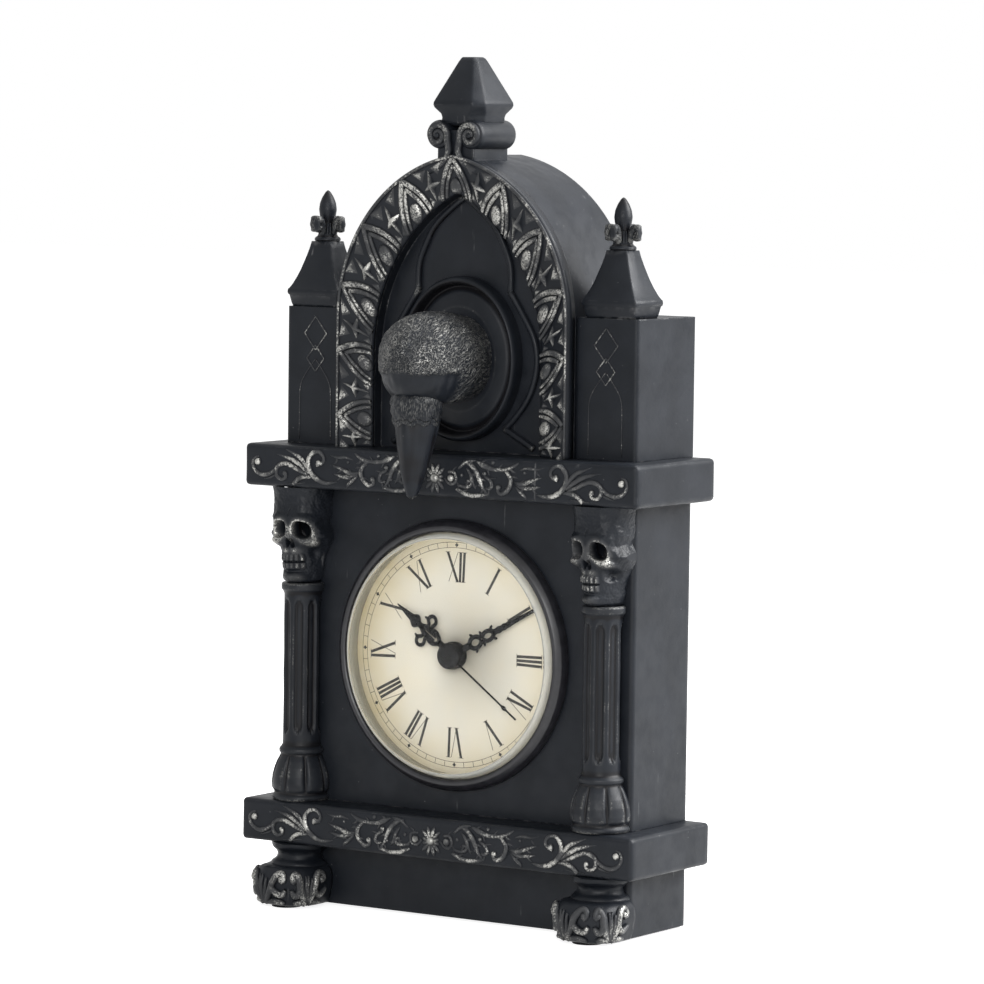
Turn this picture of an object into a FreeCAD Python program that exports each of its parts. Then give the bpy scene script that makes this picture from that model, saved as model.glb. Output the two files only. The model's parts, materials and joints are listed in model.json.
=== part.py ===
import FreeCAD, Part
import Sketcher

import math
import os

# Gothic shelf clock with a raven's head, millimetres.
# X runs to the viewer's right, Y to the back and Z up. The origin is on the shelf,
# under the middle of the clock, and Y = 0 is the front face of the case.

os.makedirs("parts", exist_ok=True)
doc = FreeCAD.newDocument("ShelfClock")

# Driving dimensions

SIZES = {
    # casing
    "body_depth": 36.0,
    "felt_thickness": 0.8,
    "felt_radius": 5.0,
    "plinth_height": 20.6,
    "ledge_height": 14.1,
    "ledge_side_overhang": 8.0,
    "ledge_front_overhang": 12.3,
    "bezel_side_margin": 24.5,
    "bezel_low_margin": 7.5,
    "bezel_high_margin": 8.0,
    "front_corner_radius": 1.6,
    "back_corner_radius": 3.2,
    "ledge_edge": 0.9,
    "case_front_wall": 9.0,
    "cavity_margin": 12.0,
    "cavity_corner_radius": 9.0,
    # arch, niche and towers
    "tower_width": 24.0,
    "arch_spring": 44.0,
    "arch_radius": 54.1,
    "moulding_width": 12.2,
    "niche_spring": 32.0,
    "niche_radius": 58.8,
    "niche_depth": 4.0,
    "moulding_rise": 4.6,
    "moulding_inner_rise": 1.2,
    "tower_height": 45.8,
    "tracery_width": 1.9,
    "tracery_rise": 2.6,
    "collar_bead": 2.4,
    "collar_rise": 5.6,
    # raven's head
    "head_width": 31.0,
    "head_depth": 31.0,
    "head_reach": 36.0,
    "head_height": 32.0,
    "beak_width": 19.0,
    "beak_thickness": 16.0,
    "beak_drop": 13.9,
    "beak_root_reach": 20.8,
    "beak_tip_reach": 25.8,
    # crown and finial
    "scroll_radius": 4.8,
    "scroll_spread": 12.6,
    "scroll_height": 6.6,
    "scroll_front": 5.4,
    "scroll_length": 25.0,
    "finial_width": 22.0,
    "finial_depth": 25.0,
    "finial_height": 22.4,
    "finial_reach": 6.4,
    # spires and fleurons
    "spire_width": 21.0,
    "spire_depth": 17.0,
    "spire_height": 21.8,
    "spire_skirt": 5.1,
    "spire_top": 7.6,
    "spire_margin": 0.5,
    "spire_reach": 7.6,
    "fleuron_height": 17.2,
    "fleuron_bud_radius": 3.1,
    "fleuron_leaf_radius": 2.7,
    "fleuron_spread": 4.1,
    # columns, skulls and feet
    "column_inset": 9.8,
    "column_reach": 2.8,
    "column_height": 73.5,
    "column_base_height": 17.6,
    "column_base_radius": 10.0,
    "column_radius": 6.3,
    "column_ring_radius": 7.3,
    "column_ring_height": 2.6,
    "flute_width": 2.4,
    "flute_count": 8,
    "skull_width": 21.0,
    "skull_reach": 13.4,
    "jaw_width": 13.0,
    "foot_inset": 9.5,
    "foot_width": 26.8,
    "foot_reach": 20.0,
    "foot_height": 13.0,
    "foot_neck_radius": 8.7,
    "foot_neck_reach": 2.6,
    # bezel, lens, dial and what clamps the dial
    "bezel_ring_width": 4.25,
    "bezel_rise": 4.7,
    "lens_clearance": 0.35,
    "lens_wall": 1.0,
    "lens_rise": 5.7,
    "lens_ease": 1.3,
    "lens_flange": 0.8,
    "lens_flange_width": 1.25,
    "bore_clearance": 0.35,
    "dial_seat_ledge": 3.3,
    "dial_clearance": 0.3,
    "dial_thickness": 0.5,
    "washer_thickness": 1.0,
    "washer_diameter": 16.0,
    "nut_width": 11.0,
    "nut_thickness": 1.3,
    # movement
    "movement_corner_radius": 3.0,
    "shell_wall": 1.2,
    "shell_split": 5.7,
    "bush_radius": 4.0,
    "running_clearance": 0.06,
    "cannon_radius": 1.6,
    "hour_tube_radius": 2.5,
    "pivot_radius": 0.45,
    "pillar_half": 1.1,
    "end_gap": 0.3,
    "gear_thickness": 0.8,
    "layer_gap": 0.4,
    "magnet_radius": 3.0,
    "magnet_height": 1.6,
    "stator_gap": 0.4,
    "stator_thickness": 1.0,
    "bridge_thickness": 1.0,
    "board_thickness": 1.0,
    "coil_place": 22.2,
    "coil_length": 15.0,
    "coil_core": 2.0,
    "coil_radius": 4.0,
    "bobbin_wall": 0.8,
    "knob_radius": 5.0,
    "knob_height": 2.6,
    "knob_shaft_radius": 1.3,
    "battery_diameter": 14.2,
    "battery_length": 50.0,
    "battery_clearance": 0.3,
    "battery_end_gap": 1.8,
    "bay_gap": 0.385,
    "contact_thickness": 0.5,
    # gears
    "train_module": 0.35,
    "motion_module": 0.4,
    "rotor_pinion_teeth": 6,
    "step_wheel_teeth": 30,
    "step_pinion_teeth": 6,
    "seconds_wheel_teeth": 36,
    "seconds_pinion_teeth": 6,
    "third_wheel_teeth": 48,
    "third_pinion_teeth": 6,
    "centre_wheel_teeth": 45,
    "cannon_teeth": 10,
    "minute_wheel_teeth": 30,
    "minute_pinion_teeth": 8,
    "hour_wheel_teeth": 32,
    "knob_pinion_teeth": 12,
    # hands
    "hand_thickness": 0.3,
    "hand_gap": 0.5,
    "hour_hand_margin": 12.4,
    "minute_hand_margin": 3.2,
    "second_hand_margin": 6.9,
    "second_hand_width": 0.7,
    "hand_hub_radius": 4.6,
    "cap_radius": 4.4,
    "cap_height": 1.4,
    "hour_hand_angle": 305.2,
    "minute_hand_angle": 62.1,
    "second_hand_angle": 126.0,
    # cutting tools stand past what they cut by this much
    "overrun": 1.0,
}

sheet = doc.addObject("Spreadsheet::Sheet", "Sizes")
for row, (alias, number) in enumerate(SIZES.items(), start=1):
    sheet.set("A%d" % row, alias.replace("_", " "))
    sheet.set("B%d" % row, str(number))
    sheet.setAlias("B%d" % row, alias)
doc.recompute()


class Size:
    """A number with the sheet expression that gives it, so that sums of sizes can be bound."""

    def __init__(self, value, text):
        self.value = float(value)
        self.text = text

    def join(self, other, sign, value):
        return Size(value, "(%s %s %s)" % (self.text, sign, other.text))

    def __add__(self, other):
        other = as_size(other)
        return self.join(other, "+", self.value + other.value)

    def __sub__(self, other):
        other = as_size(other)
        return self.join(other, "-", self.value - other.value)

    def __mul__(self, other):
        other = as_size(other)
        return self.join(other, "*", self.value * other.value)

    def __truediv__(self, other):
        other = as_size(other)
        return self.join(other, "/", self.value / other.value)

    def __radd__(self, other):
        return as_size(other) + self

    def __rsub__(self, other):
        return as_size(other) - self

    def __rmul__(self, other):
        return as_size(other) * self

    def __neg__(self):
        return as_size(0) - self

    def __float__(self):
        return self.value

    def larger(self, other):
        other = as_size(other)
        return Size(max(self.value, other.value), "max(%s; %s)" % (self.text, other.text))

    def root(self):
        return Size(math.sqrt(self.value), "sqrt(%s)" % self.text)


def as_size(number):
    return number if isinstance(number, Size) else Size(number, repr(float(number)))


class Sheet:
    """Gives each alias of the sheet as a Size."""

    def __getattr__(self, alias):
        return Size(float(sheet.get(alias)), "Sizes." + alias)


s = Sheet()
kept = {}


def keep(item, name):
    """Names a finished sub-part; the name is also its file's."""
    item.Label = name
    kept[name] = item
    return item


def bind(item, path, size):
    item.setExpression(path, as_size(size).text)


def place(item, x=0, y=0, z=0):
    bind(item, "Placement.Base.x", x)
    bind(item, "Placement.Base.y", y)
    bind(item, "Placement.Base.z", z)


# Sketches and features

PLANES = {"front": "XZ_Plane", "top": "XY_Plane", "side": "YZ_Plane"}


def new_body(name, x=0, y=0, z=0):
    body = doc.addObject("PartDesign::Body", name + "_body")
    place(body, x, y, z)
    return body


def new_sketch(body, plane, offset=0):
    """A sketch on one of the body's own planes, moved along the plane's normal."""
    sketch = body.newObject("Sketcher::SketchObject", "outline")
    role = PLANES[plane]
    support = [item for item in body.Origin.OriginFeatures if item.Role == role][0]
    sketch.AttachmentSupport = (support, [""])
    sketch.MapMode = "FlatFace"
    bind(sketch, "AttachmentOffset.Base.z", offset)
    return sketch


def constrain(sketch, kind, places, size=None, name=None):
    """Adds a constraint and, where a size is given, binds it to the sheet."""
    if size is None:
        return sketch.addConstraint(Sketcher.Constraint(kind, *places))
    index = sketch.addConstraint(Sketcher.Constraint(kind, *places, float(size)))
    sketch.renameConstraint(index, name)
    sketch.setExpression("Constraints." + name, as_size(size).text)
    return index


def vector(first, second):
    return FreeCAD.Vector(float(first), float(second), 0)


def arc_between(start, end, radius, turn):
    """The shorter arc from start to end; turn is 1 when it runs anticlockwise."""
    chord = end - start
    rise = math.sqrt(max(radius * radius - chord.Length * chord.Length / 4, 0))
    across = FreeCAD.Vector(-chord.y, chord.x, 0).normalize()
    centre = (start + end) * 0.5 + across * rise * turn
    first = math.atan2(start.y - centre.y, start.x - centre.x)
    last = math.atan2(end.y - centre.y, end.x - centre.x)
    if turn < 0:
        first, last = last, first
    circle = Part.Circle(centre, FreeCAD.Vector(0, 0, 1), radius)
    return Part.ArcOfCircle(circle, first, last)


def draw_loop(sketch, corners, tag="p"):
    """A closed outline. Each corner is (across, up), or (across, up, radius, turn) where an arc
    leads from it to the next corner."""
    ends = []
    for number, corner in enumerate(corners):
        follower = corners[(number + 1) % len(corners)]
        start = vector(*corner[:2])
        end = vector(*follower[:2])
        if len(corner) == 2:
            index = sketch.addGeometry(Part.LineSegment(start, end))
            ends.append((index, 1, 2))
        else:
            index = sketch.addGeometry(arc_between(start, end, float(corner[2]), corner[3]))
            ends.append((index, 1, 2) if corner[3] > 0 else (index, 2, 1))
    for number, (index, first, last) in enumerate(ends):
        after = ends[(number + 1) % len(ends)]
        constrain(sketch, "Coincident", (index, last, after[0], after[1]))
    for number, corner in enumerate(corners):
        index, first, last = ends[number]
        constrain(sketch, "DistanceX", (-1, 1, index, first), corner[0], "%sx%d" % (tag, number))
        constrain(sketch, "DistanceY", (-1, 1, index, first), corner[1], "%sy%d" % (tag, number))
        if len(corner) > 2:
            constrain(sketch, "Radius", (index,), corner[2], "%sr%d" % (tag, number))
    return sketch


def draw_circle(sketch, radius, across=0, up=0, tag="c"):
    circle = Part.Circle(vector(across, up), FreeCAD.Vector(0, 0, 1), float(radius))
    index = sketch.addGeometry(circle)
    constrain(sketch, "DistanceX", (-1, 1, index, 3), across, tag + "x")
    constrain(sketch, "DistanceY", (-1, 1, index, 3), up, tag + "y")
    constrain(sketch, "Radius", (index,), radius, tag + "r")
    return sketch


def rectangle(left, right, low, high):
    return [(left, low), (right, low), (right, high), (left, high)]


def rounded_rectangle(left, right, low, high, low_radius, high_radius=None):
    """A rectangle whose two low corners and two high corners have their own radii."""
    high_radius = low_radius if high_radius is None else high_radius
    return [
        (left + low_radius, low),
        (right - low_radius, low, low_radius, 1),
        (right, low + low_radius),
        (right, high - high_radius, high_radius, 1),
        (right - high_radius, high),
        (left + high_radius, high, high_radius, 1),
        (left, high - high_radius),
        (left, low + low_radius, low_radius, 1),
    ]


def pad(body, sketch, length, back=False):
    """Extrudes a sketch along its plane's normal, or back against it."""
    feature = body.newObject("PartDesign::Pad", "pad")
    feature.Profile = sketch
    bind(feature, "Length", length)
    feature.Reversed = back
    return feature


def pocket(body, sketch, length, along=False):
    """Cuts a sketch against its plane's normal, or along it."""
    feature = body.newObject("PartDesign::Pocket", "pocket")
    feature.Profile = sketch
    bind(feature, "Length", length)
    feature.Reversed = along
    return feature


def revolve(body, sketch):
    feature = body.newObject("PartDesign::Revolution", "turned")
    feature.Profile = sketch
    feature.ReferenceAxis = (sketch, ["V_Axis"])
    feature.Angle = 360
    return feature


def around(body, feature, sketch, count):
    """Repeats a feature about the sketch's normal."""
    pattern = body.newObject("PartDesign::PolarPattern", "pattern")
    pattern.Originals = [feature]
    pattern.Axis = (sketch, ["N_Axis"])
    pattern.Angle = 360
    pattern.Occurrences = count
    body.Tip = pattern
    return pattern


def ease_edges(body, width, wanted):
    """Chamfers the edges of the body for which wanted(edge) holds."""
    doc.recompute()
    base = body.Tip
    names = []
    for number, edge in enumerate(base.Shape.Edges, start=1):
        if wanted(edge):
            names.append("Edge%d" % number)
    feature = body.newObject("PartDesign::Chamfer", "eased")
    feature.Base = (base, names)
    bind(feature, "Size", width)
    return feature


def turned_body(name, corners, x=0, y=0, z=0, plane="front"):
    """A body of revolution; corners are (radius, along) pairs."""
    body = new_body(name, x, y, z)
    revolve(body, draw_loop(new_sketch(body, plane), corners))
    return body


# Plain shapes

def solid(name, shape):
    """A sub-part whose form Part's own functions make."""
    feature = doc.addObject("Part::Feature", name + "_form")
    feature.Shape = shape
    return feature


def point(x, y, z):
    return FreeCAD.Vector(float(x), float(y), float(z))


def box(x0, x1, y0, y1, z0, z1):
    low = point(x0, y0, z0)
    return Part.makeBox(float(x1 - x0), float(y1 - y0), float(z1 - z0), low)


def rod(radius, x, z, y0, y1):
    """A cylinder along Y."""
    return Part.makeCylinder(float(radius), float(y1 - y0), point(x, y0, z), FreeCAD.Vector(0, 1, 0))


LOOP_SIDES = 10


def post(half, x, z, y0, y1):
    """A square bar along Y."""
    return box(x - half, x + half, y0, y1, z - half, z + half)


def polygon_rod(sides, radius, x, z, y0, y1):
    """A bar along Y whose section is a regular polygon, flat side up."""
    outline = []
    for number in range(sides):
        angle = math.pi * (2 * number + 1) / sides
        outline.append(point(x + radius * math.cos(angle), y0, z + radius * math.sin(angle)))
    return Part.Face(closed_wire(outline)).extrude(point(0, y1 - y0, 0))


def open_ring(outer, inner, x, z, y0, y1):
    return polygon_rod(LOOP_SIDES, outer, x, z, y0, y1).cut(
        polygon_rod(LOOP_SIDES, inner, x, z, y0 - s.overrun, y1 + s.overrun))


def upright_oval(x, y, z, half_x, half_z):
    """An upright ellipse in the plane at y, seam at its top or side."""
    if float(half_z) >= float(half_x):
        curve = Part.Ellipse(point(x, y, z + half_z), point(x + half_x, y, z), point(x, y, z))
    else:
        curve = Part.Ellipse(point(x + half_x, y, z), point(x, y, z + half_z), point(x, y, z))
    return Part.Wire([curve.toShape()])


def closed_wire(points):
    return Part.makePolygon(points + points[:1])


def ring_wire(x, y, z, half_x, half_y, cut_share):
    """A level rectangle with its four corners cut off, for faceted lofts."""
    cut_x = float(half_x) * cut_share
    cut_y = float(half_y) * cut_share
    outline = []
    for turn_x, turn_y, first in ((1, 1, True), (-1, 1, False), (-1, -1, True), (1, -1, False)):
        near_x = point(x + turn_x * half_x, y + turn_y * (half_y - cut_y), z)
        near_y = point(x + turn_x * (half_x - cut_x), y + turn_y * half_y, z)
        outline += [near_x, near_y] if first else [near_y, near_x]
    return closed_wire(outline)


def ellipse_wire(x, y, z, half_x, half_y):
    """A level ellipse whose seam faces the back."""
    if float(half_y) >= float(half_x):
        curve = Part.Ellipse(point(x, y + half_y, z), point(x + half_x, y, z), point(x, y, z))
    else:
        curve = Part.Ellipse(point(x + half_x, y, z), point(x, y + half_y, z), point(x, y, z))
    return Part.Wire([curve.toShape()])


def faceted(rings):
    return Part.makeLoft(rings, True, True)


def joined(shapes):
    whole = shapes[0].multiFuse(shapes[1:]) if len(shapes) > 1 else shapes[0]
    return whole.removeSplitter()


# Levels and planes that the pieces share

over = s.overrun
# the movement's square box holds the battery's length and, above its bay, the going train
train = s.train_module
step_x = train * (s.step_pinion_teeth + s.seconds_wheel_teeth) / 2
pillar_drop = step_x * 1.3
bay_partition = s.shell_wall * 0.8
bay_depth = s.shell_wall + s.battery_clearance * 2 + s.battery_diameter
half_movement = (s.battery_length / 2 + s.battery_end_gap + s.shell_wall).larger(
    pillar_drop + s.pillar_half + s.bay_gap + bay_partition + bay_depth)
bore_radius = ((half_movement - s.movement_corner_radius) * as_size(2).root()
               + s.movement_corner_radius + s.bore_clearance)
dial_seat_radius = bore_radius + s.dial_seat_ledge
bezel_inner = dial_seat_radius - s.lens_flange_width
bezel_outer = bezel_inner + s.bezel_ring_width
half_body = bezel_outer + s.bezel_side_margin
bottom = s.felt_thickness
ledge_low = bottom + s.plinth_height
case_low = ledge_low + s.ledge_height
dial_z = case_low + s.bezel_low_margin + bezel_outer
case_high = dial_z + bezel_outer + s.bezel_high_margin
deck = case_high + s.ledge_height
tower_top = deck + s.tower_height
half_arch = half_body - s.tower_width
half_niche = half_arch - s.moulding_width
ledge_half = half_body + s.ledge_side_overhang
ledge_front = -s.ledge_front_overhang

# Casing: plinth, ledges and dial case

def slab(name, half_width, front, back, low, high, edge=None):
    """A block with softened upright corners, and eased edges where a width is given."""
    body = new_body(name)
    sketch = new_sketch(body, "top", low)
    draw_loop(sketch, rounded_rectangle(
        -half_width, half_width, front, back, s.front_corner_radius, s.back_corner_radius))
    pad(body, sketch, high - low)
    if edge is not None:
        ease_edges(body, edge, lambda e: e.BoundBox.ZLength < float(edge) / 2)
    return body


plinth = slab("plinth_block", half_body, 0, s.body_depth, bottom, ledge_low)
felt_x = half_body - s.felt_radius - s.back_corner_radius
felt_y = s.body_depth - s.felt_radius - s.back_corner_radius
keep(plinth, "plinth_block")

for name, low in (("lower_ledge", ledge_low), ("upper_ledge", case_high)):
    keep(slab(name, ledge_half, ledge_front, s.body_depth, low, low + s.ledge_height,
              s.ledge_edge), name)

case = slab("dial_case", half_body, 0, s.body_depth, case_low, case_high)
dial_seat = s.lens_flange + s.dial_thickness
half_cavity = half_movement + s.cavity_margin
sketch = new_sketch(case, "front", 0)
draw_circle(sketch, dial_seat_radius, 0, dial_z)
pocket(case, sketch, dial_seat, along=False)
sketch = new_sketch(case, "front", 0)
draw_circle(sketch, bore_radius, 0, dial_z)
pocket(case, sketch, s.case_front_wall + over)
sketch = new_sketch(case, "front", -s.case_front_wall)
draw_loop(sketch, rounded_rectangle(
    -half_cavity, half_cavity, dial_z - half_cavity, dial_z + half_cavity, s.cavity_corner_radius))
pocket(case, sketch, s.body_depth)
keep(case, "dial_case")

# Arch block with its niche, moulding and towers

def pointed_arch(half_width, low, spring, radius):
    """A pointed arch: upright sides to the springing, then two arcs that meet at the apex."""
    centre = radius - half_width
    apex = spring + (radius * radius - centre * centre).root()
    return [
        (-half_width, low),
        (half_width, low),
        (half_width, spring, radius, 1),
        (0, apex, radius, 1),
        (-half_width, spring),
    ]


arch_spring = deck + s.arch_spring
niche_spring = deck + s.niche_spring
arch_centre = s.arch_radius - half_arch
arch_apex = arch_spring + (s.arch_radius * s.arch_radius - arch_centre * arch_centre).root()
outer_arch = pointed_arch(half_arch, deck, arch_spring, s.arch_radius)
niche_arch = pointed_arch(half_niche, deck, niche_spring, s.niche_radius)

arch = new_body("arch_block")
pad(arch, draw_loop(new_sketch(arch, "front"), outer_arch), s.body_depth, back=True)
pocket(arch, draw_loop(new_sketch(arch, "front"), niche_arch), s.niche_depth)
keep(arch, "arch_block")

for side, name in ((-1, "left_tower"), (1, "right_tower")):
    half_tower = s.tower_width / 2
    middle = (half_body - half_tower) * side
    tower = new_body(name, middle)
    sketch = new_sketch(tower, "top", deck)
    draw_loop(sketch, rounded_rectangle(
        -half_tower, half_tower, 0, s.body_depth, s.front_corner_radius, s.front_corner_radius))
    pad(tower, sketch, s.tower_height)
    keep(tower, name)


# Arch moulding, tracery and collar

def wire_at(corners, y):
    """The outline that draw_loop takes, as a wire in the upright plane at y."""
    edges = []
    for number, corner in enumerate(corners):
        follower = corners[(number + 1) % len(corners)]
        start = vector(*corner[:2])
        end = vector(*follower[:2])
        if len(corner) == 2:
            edges.append(Part.LineSegment(start, end).toShape())
        else:
            edges.append(arc_between(start, end, float(corner[2]), corner[3]).toShape())
    wire = Part.Wire(edges)
    wire.rotate(point(0, 0, 0), FreeCAD.Vector(1, 0, 0), 90)
    wire.translate(point(0, y, 0))
    return wire


def prism(wire, y0, y1):
    """The solid that an upright outline sweeps from y0 to y1."""
    face = Part.Face(wire)
    face.translate(point(0, y0 - as_size(face.BoundBox.YMin), 0))
    return face.extrude(point(0, y1 - y0, 0))


rim = s.moulding_inner_rise
arch_rim = pointed_arch(half_arch - rim, deck, arch_spring, s.arch_radius - rim)
band = prism(wire_at(outer_arch, 0), -s.moulding_rise, 0)
band = band.cut(prism(wire_at(niche_arch, 0), -s.moulding_rise - over, over))
slope = Part.makeLoft([
    wire_at(niche_arch, -s.moulding_inner_rise),
    wire_at(arch_rim, -s.moulding_rise),
], True, True)
moulding = solid("arch_moulding", band.cut(slope))
keep(moulding, "arch_moulding")

# The tracery is an ogee: two reversed curves on each side that meet in cusps.
# Shares of the niche's half width across, and of its height upwards.
NICHE_OGEE_SHARES = [
    (0.835, 0.0), (0.505, 0.095), (0.780, 0.235), (0.860, 0.335),
    (0.835, 0.430), (0.690, 0.530), (0.530, 0.625),
    (0.565, 0.690), (0.510, 0.760), (0.360, 0.880), (0.000, 0.985),
]
niche_apex = niche_spring + (s.niche_radius * s.niche_radius
                             - (s.niche_radius - half_niche) * (s.niche_radius - half_niche)).root()
niche_height = niche_apex - deck


def ogee_wire(inset, y):
    """The tracery's outline, drawn in by inset."""
    right = []
    middle = deck + niche_height * 0.45
    for across, up in NICHE_OGEE_SHARES:
        x = half_niche * across
        z = deck + niche_height * up
        reach = math.hypot(float(x), float(z - middle))
        right.append(point(x - x * (float(inset) / reach), y, z - (z - middle) * (float(inset) / reach)))
    left = [FreeCAD.Vector(-p.x, p.y, p.z) for p in reversed(right[:-1])]
    return closed_wire(right + left)


panel = s.niche_depth
tracery = prism(ogee_wire(0, 0), panel - s.tracery_rise, panel)
tracery = tracery.cut(prism(ogee_wire(s.tracery_width, 0), panel - s.tracery_rise - over, panel + over))
keep(solid("niche_tracery", tracery), "niche_tracery")

# the collar's half width, half height and middle, as shares of the niche that holds it
COLLAR_SHARES = (0.685, 0.32, 0.36)
collar_x = half_niche * COLLAR_SHARES[0]
collar_z = niche_height * COLLAR_SHARES[1]
collar_middle = deck + niche_height * COLLAR_SHARES[2]


def collar_oval(inset, y):
    return upright_oval(0, y, collar_middle, collar_x - inset, collar_z - inset)


half_bead = s.collar_bead / 2
collar_front = panel - s.collar_rise
bead_back = collar_front + half_bead
dish_floor = panel - s.collar_rise / 2
rim_top = collar_oval(half_bead, collar_front)
bead = faceted([collar_oval(0, panel), collar_oval(0, bead_back)]).fuse(
    faceted([collar_oval(0, bead_back), rim_top]))
dish = faceted([collar_oval(half_bead, collar_front - over), rim_top])
dish = dish.fuse(faceted([rim_top, collar_oval(s.collar_bead, bead_back)]))
dish = dish.fuse(faceted([collar_oval(s.collar_bead, bead_back), collar_oval(s.collar_bead, dish_floor)]))
collar = solid("neck_collar", bead.cut(dish).removeSplitter())
keep(collar, "neck_collar")

# Raven's head: skull, neck and hanging beak

head_z = deck + s.head_height
neck_front = dish_floor
# reach from the neck to the brow, half width, half height and drop, as shares
HEAD_SHARES = [(0, 0.86, 0.88, 0.02), (0.18, 0.95, 0.97, 0), (0.42, 0.99, 1, 0), (0.64, 0.94, 0.95, 0.03),
               (0.82, 0.77, 0.79, 0.1), (0.94, 0.5, 0.52, 0.16), (1, 0.18, 0.2, 0.18)]
rings = []
for forward, wide, tall, drop in HEAD_SHARES:
    rings.append(upright_oval(
        0, neck_front - (neck_front + s.head_reach) * forward, head_z - s.head_depth * drop,
        s.head_width * wide / 2, s.head_depth * tall / 2))
skull_form = faceted(rings)
beak_top = head_z - s.head_depth * 0.3
beak_tip_z = deck - s.beak_drop
beak_length = beak_top - beak_tip_z
# down the beak, width, thickness, and how far it has swung to the tip
BEAK_SHARES = [(0, 0.9, 0.9, 0), (0.17, 1, 1, 0.05), (0.45, 0.78, 0.86, 0.3),
               (0.75, 0.46, 0.55, 0.65), (0.94, 0.2, 0.26, 0.92), (1, 0.05, 0.07, 1)]
rings = []
for down, wide, thick, swing in BEAK_SHARES:
    reach = s.beak_root_reach + (s.beak_tip_reach - s.beak_root_reach) * swing
    rings.append(ellipse_wire(0, -reach, beak_top - beak_length * down,
                              s.beak_width * wide / 2, s.beak_thickness * thick / 2))
beak = faceted(rings)
keep(solid("raven_head", joined([skull_form, beak])), "raven_head")

# Crown: two rolls on a saddle, and the crystal above them

roll_z = arch_apex + s.scroll_height
roll_x = s.scroll_spread / 2
roll_back = s.scroll_length - s.scroll_front
rolls = []
for side in (-1, 1):
    rolls.append(rod(s.scroll_radius, side * roll_x, roll_z, -s.scroll_front, roll_back))
saddle_low = arch_apex - s.scroll_height
neck_low = roll_z + s.scroll_radius * 0.6
saddle = box(-roll_x, roll_x, -s.scroll_front, roll_back, saddle_low, neck_low)
under_arch = prism(wire_at(outer_arch, 0), -s.moulding_rise, s.body_depth)
finial_y = s.finial_reach
# height, width and depth, each of the finial's own
FINIAL_SHARES = [(0, 0.6, 0.6), (0.12, 0.6, 0.6), (0.17, 0.66, 0.66), (0.33, 1, 1), (0.4, 1, 1),
                 (0.97, 0.31, 0.28), (1, 0.24, 0.2)]
rings = []
for up, wide, deep in FINIAL_SHARES:
    rings.append(ring_wire(0, finial_y, neck_low + s.finial_height * up,
                           s.finial_width * wide / 2, s.finial_depth * deep / 2, 0.3))
finial = faceted(rings)
crown = joined(rolls + [saddle]).cut(under_arch).cut(finial)
keep(solid("crown_scrolls", crown), "crown_scrolls")
keep(solid("crown_finial", finial), "crown_finial")

# Spires on the towers, with their fleurons

spire_top_z = tower_top + s.spire_height
spire_x = half_body - s.spire_margin - s.spire_width / 2
# height, width and depth, each of the spire's own
SPIRE_SHARES = [(0, 0.88, 0.86), (0.20, 1, 1), (0.25, 1, 1), (0.62, 0.64, 0.68)]
for side, name in ((-1, "left_spire"), (1, "right_spire")):
    x = spire_x * side
    rings = []
    for up, wide, deep in SPIRE_SHARES:
        rings.append(ring_wire(x, s.spire_reach, tower_top + s.spire_height * up,
                               s.spire_width * wide / 2, s.spire_depth * deep / 2, 0.04))
    rings.append(ring_wire(x, s.spire_reach, spire_top_z, s.spire_top / 2, s.spire_top / 2, 0.04))
    keep(solid(name, faceted(rings)), name)

# the bud's height and radius, each of the fleuron's own
BUD_SHARES = [(0, 1.25), (0.07, 1.45), (0.14, 1.2), (0.36, 0.75), (0.6, 1), (0.84, 0.6), (1, 0.06)]
# what is cut off a square's corner to leave a regular octagon
OCTAGON_SHARE = 2 - math.sqrt(2)
for side, name in ((-1, "left_fleuron"), (1, "right_fleuron")):
    rings = []
    for up, wide in BUD_SHARES:
        radius = s.fleuron_bud_radius * wide
        rings.append(ring_wire(0, 0, s.fleuron_height * up, radius, radius, OCTAGON_SHARE))
    bud = faceted(rings)
    curls = []
    curl_z = s.fleuron_height * 0.28
    for quarter in range(4):
        outer = s.fleuron_spread + s.fleuron_leaf_radius * 0.1
        leaf_half = s.fleuron_leaf_radius * 0.7
        curl = polygon_rod(8, s.fleuron_leaf_radius * 0.85, outer, curl_z, -leaf_half, leaf_half)
        stem = box(0, outer, -s.fleuron_leaf_radius * 0.45, s.fleuron_leaf_radius * 0.45,
                   curl_z - s.fleuron_leaf_radius * 0.8, curl_z)
        for leaf in (curl, stem):
            leaf.rotate(point(0, 0, 0), FreeCAD.Vector(0, 0, 1), 90 * quarter)
            curls.append(leaf)
    form = joined([bud] + curls)
    form.translate(point(spire_x * side, s.spire_reach, spire_top_z))
    keep(solid(name, form), name)

# Columns with bulb bases, skull capitals and feet

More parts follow.
